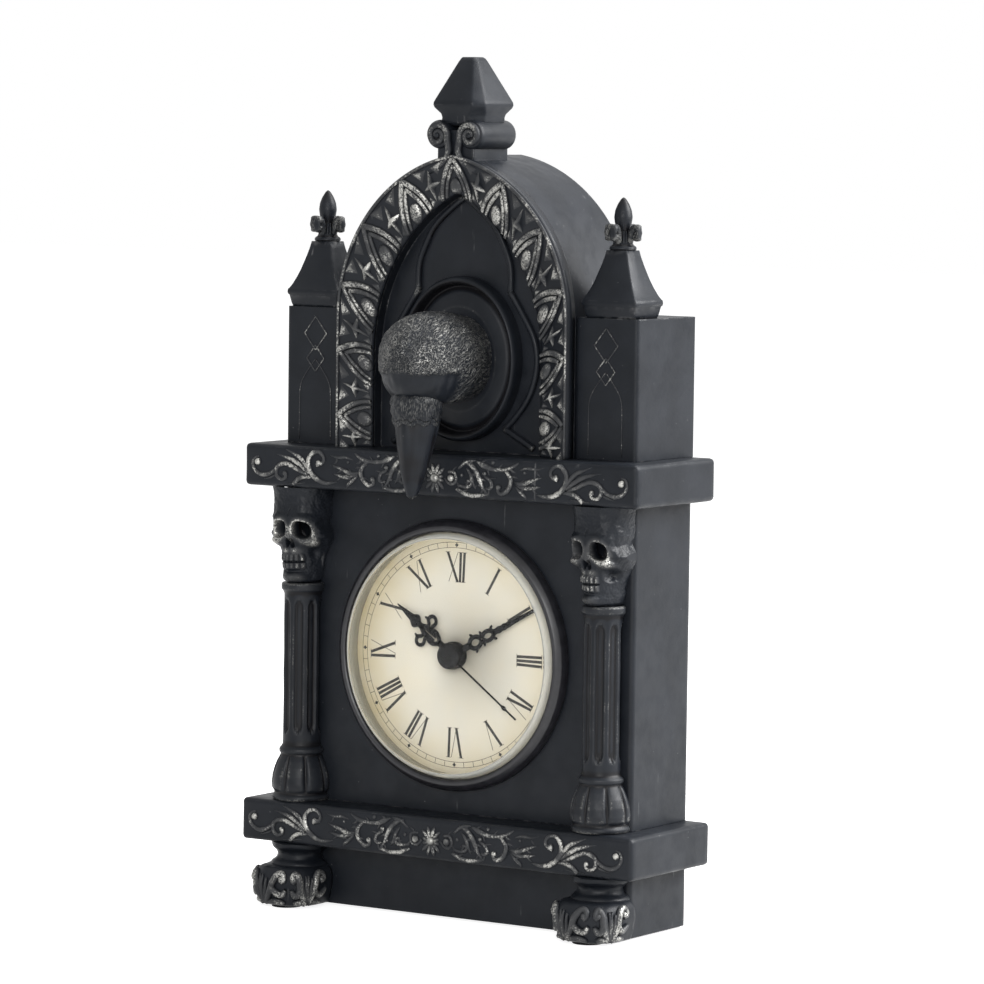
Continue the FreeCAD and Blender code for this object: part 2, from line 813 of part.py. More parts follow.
column_x = half_body - s.column_inset
column_top = case_low + s.column_height
base_high = s.column_base_height
for side, name in ((-1, "left_column"), (1, "right_column")):
    column = turned_body(name, [
        (0, 0),
        (s.column_base_radius * 0.92, 0),
        (s.column_base_radius * 0.92, base_high * 0.08),
        (s.column_base_radius, base_high * 0.2),
        (s.column_base_radius * 0.98, base_high * 0.45),
        (s.column_base_radius * 0.86, base_high * 0.7),
        (s.column_ring_radius * 0.92, base_high - s.column_ring_height / 2),
        (s.column_ring_radius, base_high - s.column_ring_height / 2),
        (s.column_ring_radius, base_high),
        (s.column_radius, base_high + s.column_ring_height / 2),
        (s.column_radius, s.column_height - s.column_ring_height),
        (s.column_ring_radius, s.column_height - s.column_ring_height * 0.7),
        (s.column_ring_radius, s.column_height),
        (0, s.column_height),
    ], column_x * side, -s.column_reach, case_low)
    sketch = new_sketch(column, "top", base_high + s.column_ring_height * 1.5)
    flute_depth = s.flute_width * 0.4
    draw_loop(sketch, [
        (-s.flute_width / 2, -s.column_radius - flute_depth),
        (s.flute_width / 2, -s.column_radius - flute_depth),
        (s.flute_width / 2, -s.column_radius + flute_depth / 2),
        (s.flute_width / 4, -s.column_radius + flute_depth),
        (-s.flute_width / 4, -s.column_radius + flute_depth),
        (-s.flute_width / 2, -s.column_radius + flute_depth / 2),
    ])
    flute = pocket(column, sketch, s.column_height - base_high - s.column_ring_height * 3.5, along=True)
    around(column, flute, sketch, int(float(s.flute_count)))
    sketch = new_sketch(column, "top", s.column_height + over)
    draw_loop(sketch, rectangle(-s.column_base_radius - over, s.column_base_radius + over,
                                s.column_reach, s.column_base_radius + over))
    pocket(column, sketch, s.column_height + over * 2)
    keep(column, name)

# Skulls: a round cranium that dies into the case, sockets, nose and jaw

skull_low = column_top
skull_height = case_high - skull_low
half_skull = s.skull_width / 2
cranium_z = skull_low + skull_height * 0.64
# reach forwards, half width and half height of the cranium, as shares
CRANIUM_SHARES = [(0, 0.98, 1), (0.4, 1, 1), (0.7, 0.86, 0.88), (0.9, 0.6, 0.62), (0.97, 0.3, 0.3)]
cranium_half = skull_height * 0.34
# height up the skull, half width of the jaw and its reach forwards, as shares
JAW_SHARES = [(0, 0.62, 0.62), (0.08, 0.86, 0.84), (0.2, 1, 0.92), (0.34, 1.08, 0.9), (0.55, 1.2, 0.7)]
for side, name in ((-1, "left_skull"), (1, "right_skull")):
    x = column_x * side
    rings = []
    for reach, wide, tall in CRANIUM_SHARES:
        rings.append(upright_oval(
            x, -s.skull_reach * reach, cranium_z, half_skull * wide, cranium_half * tall))
    cranium = faceted(rings)
    rings = []
    for up, wide, reach in JAW_SHARES:
        depth = s.skull_reach * reach
        rings.append(ring_wire(x, -depth / 2, skull_low + skull_height * up,
                               s.jaw_width * wide / 2, depth / 2, 0.3))
    cap = box(x - half_skull * 0.6, x + half_skull * 0.6, -s.skull_reach * 0.6, 0,
              cranium_z, case_high)
    form = joined([cranium, faceted(rings), cap])
    for across in (-1, 1):
        form = form.cut(polygon_rod(
            8, s.skull_width * 0.15, x + half_skull * 0.43 * across, skull_low + skull_height * 0.5,
            -s.skull_reach * 1.2, -s.skull_reach * 0.72))
    nose = polygon_rod(3, s.skull_width * 0.075, x, skull_low + skull_height * 0.345,
                       -s.skull_reach * 1.1, -s.skull_reach * 0.8)
    keep(solid(name, form.cut(nose)), name)

# Feet: a turned neck on a carved block, in front of the plinth

foot_y = -s.foot_reach / 2 + s.foot_neck_reach / 2
foot_x = half_body - s.foot_inset
half_foot = s.foot_width / 2
foot_half_y = s.foot_reach / 2 + s.foot_neck_reach / 2
# height up the block, half width and half depth, as shares
FOOT_SHARES = [(0, 0.84, 0.86), (0.16, 0.97, 0.96), (0.6, 1, 1), (0.88, 0.94, 0.92), (1, 0.8, 0.76)]
neck_height = ledge_low - bottom - s.foot_height
# the neck's radius and height, as shares
NECK_SHARES = [(0, 0), (1.12, 0), (1.12, 0.15), (0.88, 0.35), (0.88, 0.58), (1.1, 0.8), (1.1, 1), (0, 1)]
for side, name in ((-1, "left_foot"), (1, "right_foot")):
    x = foot_x * side
    rings = []
    for up, wide, deep in FOOT_SHARES:
        rings.append(ring_wire(x, foot_y, bottom + s.foot_height * up,
                               half_foot * wide, foot_half_y * deep, 0.28))
    block = faceted(rings)
    neck_z = bottom + s.foot_height
    profile = []
    for out, up in NECK_SHARES:
        profile.append(point(s.foot_neck_radius * out, 0, neck_height * up))
    neck = Part.Face(closed_wire(profile)).revolve(point(0, 0, 0), FreeCAD.Vector(0, 0, 1), 360)
    neck.translate(point(x, -s.foot_neck_reach, neck_z))
    keep_out = box(x - s.foot_width, x + s.foot_width, 0, s.body_depth, bottom - over, ledge_low + over)
    form = joined([block, neck]).cut(keep_out)
    keep(solid(name, form), name)

felts = []
for side in (-1, 1):
    for x, y in ((felt_x * side, felt_y), (foot_x * side, -s.foot_reach / 2)):
        felts.append(Part.makeCylinder(float(s.felt_radius), float(bottom), point(x, y, 0)))
keep(solid("felt_pads", Part.makeCompound(felts)), "felt_pads")

# Bezel, lens, dial and the parts that clamp it

bezel_ring = s.bezel_ring_width / 2
bezel = turned_body("bezel", [
    (bezel_inner, 0),
    (bezel_inner, -s.bezel_rise * 0.78),
    (bezel_inner + bezel_ring * 0.25, -s.bezel_rise),
    (bezel_inner + bezel_ring * 0.55, -s.bezel_rise),
    (bezel_outer - bezel_ring * 0.12, -s.bezel_rise * 0.62),
    (bezel_outer, -s.bezel_rise * 0.3),
    (bezel_outer, 0),
], 0, 0, dial_z, plane="top")
keep(bezel, "bezel")

lens_radius = bezel_inner - s.lens_clearance
lens_inner = lens_radius - s.lens_wall
seat_radius = dial_seat_radius - s.dial_clearance
lens_front = -s.lens_rise
lens = turned_body("lens", [
    (0, lens_front),
    (lens_radius - s.lens_ease, lens_front),
    (lens_radius, lens_front + s.lens_ease),
    (lens_radius, 0),
    (seat_radius, 0),
    (seat_radius, s.lens_flange),
    (lens_inner, s.lens_flange),
    (lens_inner, lens_front + s.lens_wall),
    (0, lens_front + s.lens_wall),
], 0, 0, dial_z, plane="top")
keep(lens, "lens")

dial_back = s.lens_flange + s.dial_thickness
dial = turned_body("dial", [
    (s.bush_radius, s.lens_flange),
    (seat_radius, s.lens_flange),
    (seat_radius, dial_back),
    (s.bush_radius, dial_back),
], 0, 0, dial_z, plane="top")
keep(dial, "dial")

movement_front = dial_back + s.washer_thickness
washer = turned_body("dial_washer", [
    (s.bush_radius, dial_back),
    (s.washer_diameter / 2, dial_back),
    (s.washer_diameter / 2, movement_front),
    (s.bush_radius, movement_front),
], 0, 0, dial_z, plane="top")
keep(washer, "dial_washer")

nut = new_body("shaft_nut", 0, 0, dial_z)
corner = s.nut_width / math.sqrt(3)
sketch = new_sketch(nut, "front", -s.lens_flange)
hexagon = [(corner, 0), (corner / 2, s.nut_width / 2), (-corner / 2, s.nut_width / 2),
           (-corner, 0), (-corner / 2, -s.nut_width / 2), (corner / 2, -s.nut_width / 2)]
draw_loop(sketch, hexagon)
draw_circle(sketch, s.bush_radius)
pad(nut, sketch, s.nut_thickness)
keep(nut, "shaft_nut")

# Quartz movement: planes and places of the wheels

movement_back = movement_front + bay_depth
inner_front = movement_front + s.shell_wall
inner_back = movement_back - s.shell_wall
half_inner = half_movement - s.shell_wall
split = movement_front + s.shell_split
layer = s.gear_thickness + s.layer_gap
hour_plane = inner_front + s.end_gap
minute_plane = hour_plane + layer
centre_plane = minute_plane + layer
third_plane = centre_plane + layer
seconds_plane = third_plane + layer
step_plane = seconds_plane + layer
magnet_front = step_plane + layer
bridge_front = magnet_front + s.magnet_height + s.end_gap
bridge_back = bridge_front + s.bridge_thickness

motion = s.motion_module
seconds_third = train * (s.seconds_pinion_teeth + s.third_wheel_teeth) / 2
third_module = seconds_third * 2 / (s.third_pinion_teeth + s.centre_wheel_teeth)
rotor_x = step_x + train * (s.rotor_pinion_teeth + s.step_wheel_teeth) / 2
minute_z = motion * (s.cannon_teeth + s.minute_wheel_teeth) / 2
knob_reach = motion * (s.minute_wheel_teeth + s.knob_pinion_teeth) / 2
KNOB_DIRECTION = 135
KNOB_RIDGES = 18
knob_x = knob_reach * math.cos(math.radians(KNOB_DIRECTION))
knob_z = minute_z + knob_reach * math.sin(math.radians(KNOB_DIRECTION))

# Tooth height above and below the pitch circle, as shares of the module, and the share of the
# pitch that a tooth fills at its root
ADDENDUM_SHARE = 0.75
DEDENDUM_SHARE = 1.15
WHEEL_TOOTH_SHARE = 1.0
PINION_TOOTH_SHARE = 0.75


def pitch_angle(teeth):
    return 360 / float(teeth)


def meshing(first_phase, first_teeth, second_teeth, direction):
    """The phase that puts a gap of the second gear at a tooth of the first; angles in degrees,
    anticlockwise from +X as seen from the front, direction from the first axis to the second."""
    passed = (direction - first_phase) / pitch_angle(first_teeth)
    return direction + 180 - (0.5 - passed) * pitch_angle(second_teeth)


def gear(teeth, module, x, z, y0, y1, phase, root_share=WHEEL_TOOTH_SHARE):
    """A flat wheel with pointed teeth; one tooth points at the phase angle."""
    root = float(module * teeth / 2 - module * DEDENDUM_SHARE)
    tip = float(module * teeth / 2 + module * ADDENDUM_SHARE)
    half_tooth = pitch_angle(teeth) / 2
    corners = [(root, -root_share), (tip, 0)]
    if root_share < 1:
        corners.append((root, root_share))
    outline = []
    for tooth in range(int(float(teeth))):
        for radius, share in corners:
            angle = math.radians(phase + tooth * pitch_angle(teeth) + share * half_tooth)
            outline.append(point(x + radius * math.cos(angle), y0, z + radius * math.sin(angle)))
    return Part.Face(closed_wire(outline)).extrude(point(0, y1 - y0, 0))


def at_dial(name, shapes):
    """Joins shapes made about the dial's axis and lifts them to the dial's height."""
    form = joined(shapes) if isinstance(shapes, list) else shapes
    form.translate(point(0, 0, dial_z))
    return keep(solid(name, form), name)


def rounded_block(half, y0, y1, corner):
    """A square block along Y with rounded corners, about the dial's axis."""
    return prism(wire_at(rounded_rectangle(-half, half, -half, half, corner), 0), y0, y1)


clear = s.running_clearance
cannon_phase = 90
minute_phase = meshing(cannon_phase, s.cannon_teeth, s.minute_wheel_teeth, 90)
hour_phase = meshing(minute_phase, s.minute_pinion_teeth, s.hour_wheel_teeth, 270)
knob_phase = meshing(minute_phase, s.minute_wheel_teeth, s.knob_pinion_teeth, KNOB_DIRECTION)
seconds_phase = 0
step_phase = meshing(seconds_phase, s.seconds_wheel_teeth, s.step_pinion_teeth, 0)
rotor_phase = meshing(step_phase, s.step_wheel_teeth, s.rotor_pinion_teeth, 0)
third_phase = meshing(seconds_phase, s.seconds_pinion_teeth, s.third_wheel_teeth, 180)
centre_phase = meshing(third_phase, s.third_pinion_teeth, s.centre_wheel_teeth, 0)

# Movement shells

battery_z = s.battery_diameter / 2 + s.battery_clearance - half_inner
battery_y = inner_front + s.battery_clearance + s.battery_diameter / 2
bay_top = battery_z + s.battery_diameter / 2 + s.battery_clearance
pivot_hole = s.pivot_radius + clear
boss_radius = s.pivot_radius * 2.2
boss_depth = s.gear_thickness * 1.5
pillar_places = [(-seconds_third * 1.8, -pillar_drop), (step_x * 1.1, -pillar_drop),
                 (-seconds_third * 1.8, half_movement * 0.78), (half_movement * 0.52, half_movement * 0.78)]
stator_left = rotor_x - s.magnet_radius * 1.35
stator_right = s.coil_place + s.coil_core
arm_low = s.coil_length / 2
arm_high = arm_low + s.coil_core * 1.35
post_x = stator_right - s.coil_core * 4.2
post_z = (arm_low + arm_high) / 2
stator_front = magnet_front + (s.magnet_height - s.stator_thickness) / 2
hour_bore = s.hour_tube_radius + clear
bush_front = s.lens_flange - s.nut_thickness - clear

front_shell = [
    rounded_block(half_movement, movement_front, split, s.movement_corner_radius).cut(
        rounded_block(half_inner, inner_front, split + over, s.movement_corner_radius - s.shell_wall)),
    rod(s.bush_radius, 0, 0, bush_front, inner_front),
    rod(s.pivot_radius * 1.5, 0, minute_z, inner_front, centre_plane - s.layer_gap / 2),
]
for boss_x, boss_z, boss_end in ((-seconds_third, 0, centre_plane - s.end_gap),
                                 (rotor_x, 0, step_plane - s.end_gap),
                                 (knob_x, knob_z, minute_plane - s.end_gap)):
    boss = rod(boss_radius, boss_x, boss_z, inner_front, boss_end)
    hole = rod(pivot_hole, boss_x, boss_z, boss_end - boss_depth * 0.7, boss_end + over)
    front_shell.append(boss.cut(hole))
for pillar_x, pillar_z in pillar_places:
    front_shell.append(post(s.pillar_half, pillar_x, pillar_z, inner_front, bridge_front))
for up in (-1, 1):
    front_shell.append(post(s.pillar_half, post_x, post_z * up, inner_front, stator_front))
shell = joined(front_shell).cut(rod(hour_bore, 0, 0, bush_front - over, inner_front + over))
at_dial("movement_front_shell", shell)

bay_wall = box(-half_inner, half_inner, inner_front, inner_back, bay_top, bay_top + bay_partition)
inside_corner = s.movement_corner_radius - s.shell_wall
back_shell = rounded_block(half_movement, split, movement_back, s.movement_corner_radius).cut(
    rounded_block(half_inner, split - over, inner_back, inside_corner))
inside = rounded_block(half_inner, inner_front, inner_back + over, inside_corner)
back_shell = joined([back_shell, bay_wall.common(inside)])
bay_mouth = prism(wire_at(rectangle(-half_inner + s.shell_wall, half_inner - s.shell_wall,
                                    -half_inner, bay_top), 0), inner_back - over, movement_back + over)
knob_hole = rod(s.knob_shaft_radius + clear, knob_x, knob_z, inner_back - over, movement_back + over)
at_dial("movement_back_shell", back_shell.cut(bay_mouth).cut(knob_hole))

# Gear bridge with the step wheel's post, the circuit board and the coil

bridge_left = -seconds_third * 1.8 - s.pillar_half * 1.6
bridge_right = s.coil_place - s.coil_radius - s.pillar_half * 1.2
bridge_low = -pillar_drop - s.pillar_half
bridge_high = half_movement * 0.78 + s.pillar_half * 1.6
bridge = prism(wire_at(rounded_rectangle(
    bridge_left, bridge_right, bridge_low, bridge_high, s.pillar_half), 0), bridge_front, bridge_back)
for hole_x, hole_z in ((0, 0), (-seconds_third, 0), (rotor_x, 0)):
    bridge = bridge.cut(rod(pivot_hole, hole_x, hole_z, bridge_front - over, bridge_back + over))
bridge = bridge.cut(rod(s.knob_shaft_radius + clear, knob_x, knob_z, bridge_front - over, bridge_back + over))
step_post = rod(s.pivot_radius, step_x, 0, seconds_plane - s.layer_gap / 2, bridge_front)
at_dial("gear_bridge", [bridge, step_post])

board = box(0, bridge_right, bridge_back, bridge_back + s.board_thickness, minute_z * 1.2, bridge_high)
at_dial("circuit_board", board)

core_y = stator_front + s.stator_thickness / 2
coil_x = s.coil_place
half_core = s.coil_core / 2
half_coil = s.coil_length / 2
stator_back = stator_front + s.stator_thickness
stator = prism(wire_at([
    (stator_left, -s.magnet_radius * 1.5), (post_x - s.coil_core, -arm_high), (stator_right, -arm_high),
    (stator_right, arm_high), (post_x - s.coil_core, arm_high), (stator_left, s.magnet_radius * 1.5),
], 0), stator_front, stator_back)
window = box(rotor_x + s.magnet_radius + s.stator_gap * 2.4, coil_x - half_core,
             stator_front - over, stator_back + over, -arm_low, arm_low)
core_side = box(coil_x + half_core, stator_right + over,
                stator_front - over, stator_back + over, -arm_low, arm_low)
rotor_hole = rod(s.magnet_radius + s.stator_gap, rotor_x, 0, stator_front - over, stator_back + over)
at_dial("stator", stator.cut(window).cut(core_side).cut(rotor_hole))


def coil_block(half_side, z0, z1):
    """A square block round the coil's core."""
    return box(coil_x - half_side, coil_x + half_side, core_y - half_side, core_y + half_side, z0, z1)


core_hole = box(coil_x - half_core, coil_x + half_core, stator_front, stator_back,
                -half_coil - over, half_coil + over)
sleeve = half_core + s.bobbin_wall
bobbin = joined([
    coil_block(sleeve, -half_coil, half_coil),
    coil_block(s.coil_radius, -half_coil, -half_coil + s.bobbin_wall),
    coil_block(s.coil_radius, half_coil - s.bobbin_wall, half_coil),
])
at_dial("coil_bobbin", bobbin.cut(core_hole))
winding_radius = float(s.coil_radius - s.bobbin_wall * 0.3)
winding_low = -half_coil + s.bobbin_wall
winding = Part.makeCylinder(winding_radius, float(-winding_low * 2), point(coil_x, core_y, winding_low))
at_dial("coil_winding", winding.cut(coil_block(sleeve, -half_coil, half_coil)))

# Wheels of the going train

rear_pivot = bridge_front + s.bridge_thickness
at_dial("rotor", [
    gear(s.rotor_pinion_teeth, train, rotor_x, 0, step_plane, magnet_front, rotor_phase, PINION_TOOTH_SHARE),
    rod(s.magnet_radius, rotor_x, 0, magnet_front, magnet_front + s.magnet_height),
    rod(s.pivot_radius, rotor_x, 0, step_plane - s.end_gap - boss_depth * 0.6, rear_pivot),
])
step = joined([
    gear(s.step_pinion_teeth, train, step_x, 0, seconds_plane, step_plane, step_phase, PINION_TOOTH_SHARE),
    gear(s.step_wheel_teeth, train, step_x, 0, step_plane, step_plane + s.gear_thickness, step_phase),
])
at_dial("step_wheel", step.cut(rod(pivot_hole, step_x, 0, seconds_plane - over, magnet_front + over)))
third_x = -seconds_third
at_dial("third_wheel", [
    gear(s.third_pinion_teeth, third_module, third_x, 0, centre_plane, third_plane, third_phase,
         PINION_TOOTH_SHARE),
    gear(s.third_wheel_teeth, train, third_x, 0, third_plane, third_plane + s.gear_thickness, third_phase),
    rod(s.pivot_radius, third_x, 0, centre_plane - s.end_gap - boss_depth * 0.6, rear_pivot),
])

hour_hand_back = bush_front - s.end_gap
hour_hand_front = hour_hand_back - s.hand_thickness
minute_hand_back = hour_hand_front - s.hand_gap
minute_hand_front = minute_hand_back - s.hand_thickness
second_hand_back = minute_hand_front - s.hand_gap
second_hand_front = second_hand_back - s.hand_thickness
tail_radius = s.cannon_radius * 0.75
tail_end = centre_plane + s.gear_thickness

at_dial("seconds_wheel", [
    gear(s.seconds_pinion_teeth, train, 0, 0, third_plane, seconds_plane, seconds_phase, PINION_TOOTH_SHARE),
    gear(s.seconds_wheel_teeth, train, 0, 0, seconds_plane, seconds_plane + s.gear_thickness, seconds_phase),
    rod(s.pivot_radius, 0, 0, second_hand_front, rear_pivot),
])
centre = gear(s.centre_wheel_teeth, third_module, 0, 0, centre_plane, tail_end, centre_phase)
at_dial("centre_wheel", centre.cut(rod(tail_radius + clear, 0, 0, centre_plane - over, tail_end + over)))
cannon = joined([
    gear(s.cannon_teeth, motion, 0, 0, minute_plane, centre_plane - s.layer_gap / 2, cannon_phase),
    rod(s.cannon_radius, 0, 0, minute_hand_front, minute_plane),
    rod(tail_radius, 0, 0, minute_plane, tail_end),
])
at_dial("cannon_pinion", cannon.cut(rod(pivot_hole, 0, 0, minute_hand_front - over, tail_end + over)))
minute_bore = s.pivot_radius * 1.5 + clear
minute_back = minute_plane + s.gear_thickness
minute = joined([
    gear(s.minute_pinion_teeth, motion, 0, minute_z, hour_plane, minute_plane, minute_phase,
         PINION_TOOTH_SHARE),
    gear(s.minute_wheel_teeth, motion, 0, minute_z, minute_plane, minute_back, minute_phase),
])
at_dial("minute_wheel", minute.cut(rod(minute_bore, 0, minute_z, hour_plane - over, centre_plane + over)))
hour = joined([
    gear(s.hour_wheel_teeth, motion, 0, 0, hour_plane, hour_plane + s.gear_thickness, hour_phase),
    rod(s.hour_tube_radius, 0, 0, hour_hand_front, hour_plane),
])
at_dial("hour_wheel", hour.cut(rod(s.cannon_radius + clear, 0, 0, hour_hand_front - over, minute_plane)))
knob_front = movement_back + s.end_gap
at_dial("setting_knob", [
    gear(s.knob_pinion_teeth, motion, knob_x, knob_z, minute_plane, minute_back, knob_phase,
         PINION_TOOTH_SHARE),
    rod(s.knob_shaft_radius, knob_x, knob_z, minute_back, knob_front),
    rod(s.pivot_radius, knob_x, knob_z, minute_plane - s.end_gap - boss_depth * 0.6, minute_plane),
    gear(KNOB_RIDGES, s.knob_radius * 2 / (KNOB_RIDGES + 2), knob_x, knob_z, knob_front,
         knob_front + s.knob_height, 0),
])

# Hands: pierced blades on hubs, made pointing at twelve and turned to their hour

def blade(length, widths, y0, y1):
    """A tapering blade; widths are shares of the hub's radius at shares of the length."""
    right = [point(s.hand_hub_radius * wide, y0, length * out) for out, wide in widths]
    left = [FreeCAD.Vector(-p.x, p.y, p.z) for p in reversed(right)]
    return Part.Face(closed_wire(right + left)).extrude(point(0, y1 - y0, 0))


def loops(places, y0, y1):
    """Open rings at (across, out, outer radius, inner radius), as shares of the hub's radius."""
    hub = s.hand_hub_radius
    return [open_ring(hub * outer, hub * inner, hub * across, hub * out, y0, y1)
            for across, out, outer, inner in places]


HOUR_BLADE_SHARES = [(0.1, 0.24), (0.42, 0.16), (0.7, 0.1), (0.78, 0.2), (0.84, 0.09), (1, 0.02)]
HOUR_LOOP_SHARES = [(-0.62, 2.9, 0.5, 0.3), (0.62, 2.9, 0.5, 0.3), (0, 3.6, 0.46, 0.26)]
MINUTE_BLADE_SHARES = [(0.1, 0.2), (0.3, 0.12), (0.62, 0.1), (0.68, 0.16), (0.74, 0.08), (1, 0.02)]
MINUTE_LOOP_SHARES = [(0, 2.9, 0.62, 0.42), (0, 4.1, 0.52, 0.34)]


def hand(name, radius, bore, margin, widths, places, y0, y1, angle):
    """A hand whose tip stays the margin away from the lens wall, with open rings at the places."""
    form = joined([rod(radius, 0, 0, y0, y1), blade(lens_inner - margin, widths, y0, y1)]
                  + loops(places, y0, y1))
    hub = s.hand_hub_radius
    for across, out, outer, inner in places:
        if across == 0:
            form = form.cut(polygon_rod(LOOP_SIDES, hub * inner, 0, hub * out, y0 - over, y1 + over))
    form = form.cut(rod(bore, 0, 0, y0 - over, y1 + over))
    form.rotate(point(0, 0, 0), FreeCAD.Vector(0, 1, 0), float(angle))
    at_dial(name, form)


hand("hour_hand", s.hand_hub_radius, s.hour_tube_radius, s.hour_hand_margin, HOUR_BLADE_SHARES,
     HOUR_LOOP_SHARES, hour_hand_front, hour_hand_back, s.hour_hand_angle)
hand("minute_hand", s.hand_hub_radius * 0.9, s.cannon_radius, s.minute_hand_margin, MINUTE_BLADE_SHARES,
     MINUTE_LOOP_SHARES, minute_hand_front, minute_hand_back, s.minute_hand_angle)
second_hand_length = lens_inner - s.second_hand_margin
NEEDLE_SHARES = [(0, 0.5), (0.78, 0.45), (0.82, 1.5), (0.86, 0.45), (1, 0.3)]
right = [point(s.second_hand_width * wide, second_hand_front, second_hand_length * out)
         for out, wide in NEEDLE_SHARES]
left = [FreeCAD.Vector(-p.x, p.y, p.z) for p in reversed(right)]
second = Part.Face(closed_wire(right + left)).extrude(point(0, s.hand_thickness, 0))
cap = Part.makeCone(float(s.cap_radius * 0.8), float(s.cap_radius), float(s.cap_height),
                    point(0, second_hand_front - s.cap_height, 0), FreeCAD.Vector(0, 1, 0))
second = joined([second, cap, rod(s.cap_radius, 0, 0, second_hand_front, second_hand_back)])
second = second.cut(rod(s.pivot_radius, 0, 0, second_hand_front, second_hand_back + over))
second.rotate(point(0, 0, 0), FreeCAD.Vector(0, 1, 0), float(s.second_hand_angle))
at_dial("second_hand", second)

# Battery and its contacts

half_battery = s.battery_length / 2
button = s.battery_diameter * 0.07


def rod_x(radius, x0, x1, y, z):
    """A cylinder along X."""
    return Part.makeCylinder(float(radius), float(x1 - x0), point(x0, y, z), FreeCAD.Vector(1, 0, 0))


at_dial("battery", [
    rod_x(s.battery_diameter / 2, -half_battery + button, half_battery, battery_y, battery_z),
    rod_x(s.battery_diameter * 0.19, -half_battery, -half_battery + button, battery_y, battery_z),
])
contact_gap = s.battery_clearance
contact_low = battery_z - s.battery_diameter * 0.25
contact_high = battery_z + s.battery_diameter * 0.3
contact_front = battery_y - s.battery_diameter * 0.3
contact_back = battery_y + s.battery_diameter * 0.3
plate_x = -half_inner + s.contact_thickness
at_dial("contact_positive", [
    box(-half_inner, plate_x, contact_front, contact_back, contact_low, contact_high),
    rod_x(s.battery_diameter * 0.15, plate_x, -half_battery - contact_gap, battery_y, battery_z),
])
spring_back = half_battery + contact_gap
leaf = prism(wire_at([
    (half_inner, contact_low), (half_inner, contact_high), (half_inner - s.contact_thickness, contact_high),
    (spring_back, battery_z + s.contact_thickness), (spring_back, battery_z - s.contact_thickness),
    (half_inner - s.contact_thickness, contact_low),
], 0), contact_front, contact_back)
at_dial("contact_negative", leaf)

# Checks and files

doc.recompute()
for item in doc.Objects:
    broken = [word for word in item.State if word in ("Invalid", "Error")]
    if broken:
        raise RuntimeError("%s is %s" % (item.Label, broken))
for name, item in kept.items():
    if item.Shape.isNull() or not item.Shape.isValid():
        raise RuntimeError(name + " has no valid shape")
for name, item in kept.items():
    item.Shape.exportStep("parts/%s.step" % name)
print(len(kept), "sub-parts written")
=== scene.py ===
import json
import math

import bmesh
import bpy
import numpy as np
from mathutils import Matrix, Vector, noise
from mathutils.bvhtree import BVHTree


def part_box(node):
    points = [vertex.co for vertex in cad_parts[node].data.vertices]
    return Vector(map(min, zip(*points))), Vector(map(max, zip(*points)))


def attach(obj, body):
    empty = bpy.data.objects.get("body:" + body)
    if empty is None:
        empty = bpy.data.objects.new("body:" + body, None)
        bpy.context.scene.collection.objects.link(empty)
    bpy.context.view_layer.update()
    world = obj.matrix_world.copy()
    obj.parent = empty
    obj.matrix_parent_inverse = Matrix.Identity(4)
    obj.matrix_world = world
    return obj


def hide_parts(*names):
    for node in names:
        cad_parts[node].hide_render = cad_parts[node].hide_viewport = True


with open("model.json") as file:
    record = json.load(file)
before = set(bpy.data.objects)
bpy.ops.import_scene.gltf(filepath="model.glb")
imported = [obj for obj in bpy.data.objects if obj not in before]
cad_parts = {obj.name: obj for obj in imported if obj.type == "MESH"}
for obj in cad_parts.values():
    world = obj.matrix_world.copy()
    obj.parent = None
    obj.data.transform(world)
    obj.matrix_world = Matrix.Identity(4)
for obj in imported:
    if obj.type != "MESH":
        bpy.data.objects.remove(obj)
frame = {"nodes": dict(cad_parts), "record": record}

# Gothic shelf clock with a raven's head. Shapes are made in millimetres, in the frame of the
# solids, and scaled to metres when a piece is finished. The front of the case is at y = 0.

MM = 0.001
noise.seed_set(5)  # so that the casting's small waverings come out the same each time
scene = bpy.context.scene
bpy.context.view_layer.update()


def span(node):
    """A solid's lowest and highest corner, in millimetres."""
    low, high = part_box(node)
    return low / MM, high / MM


# Finishes

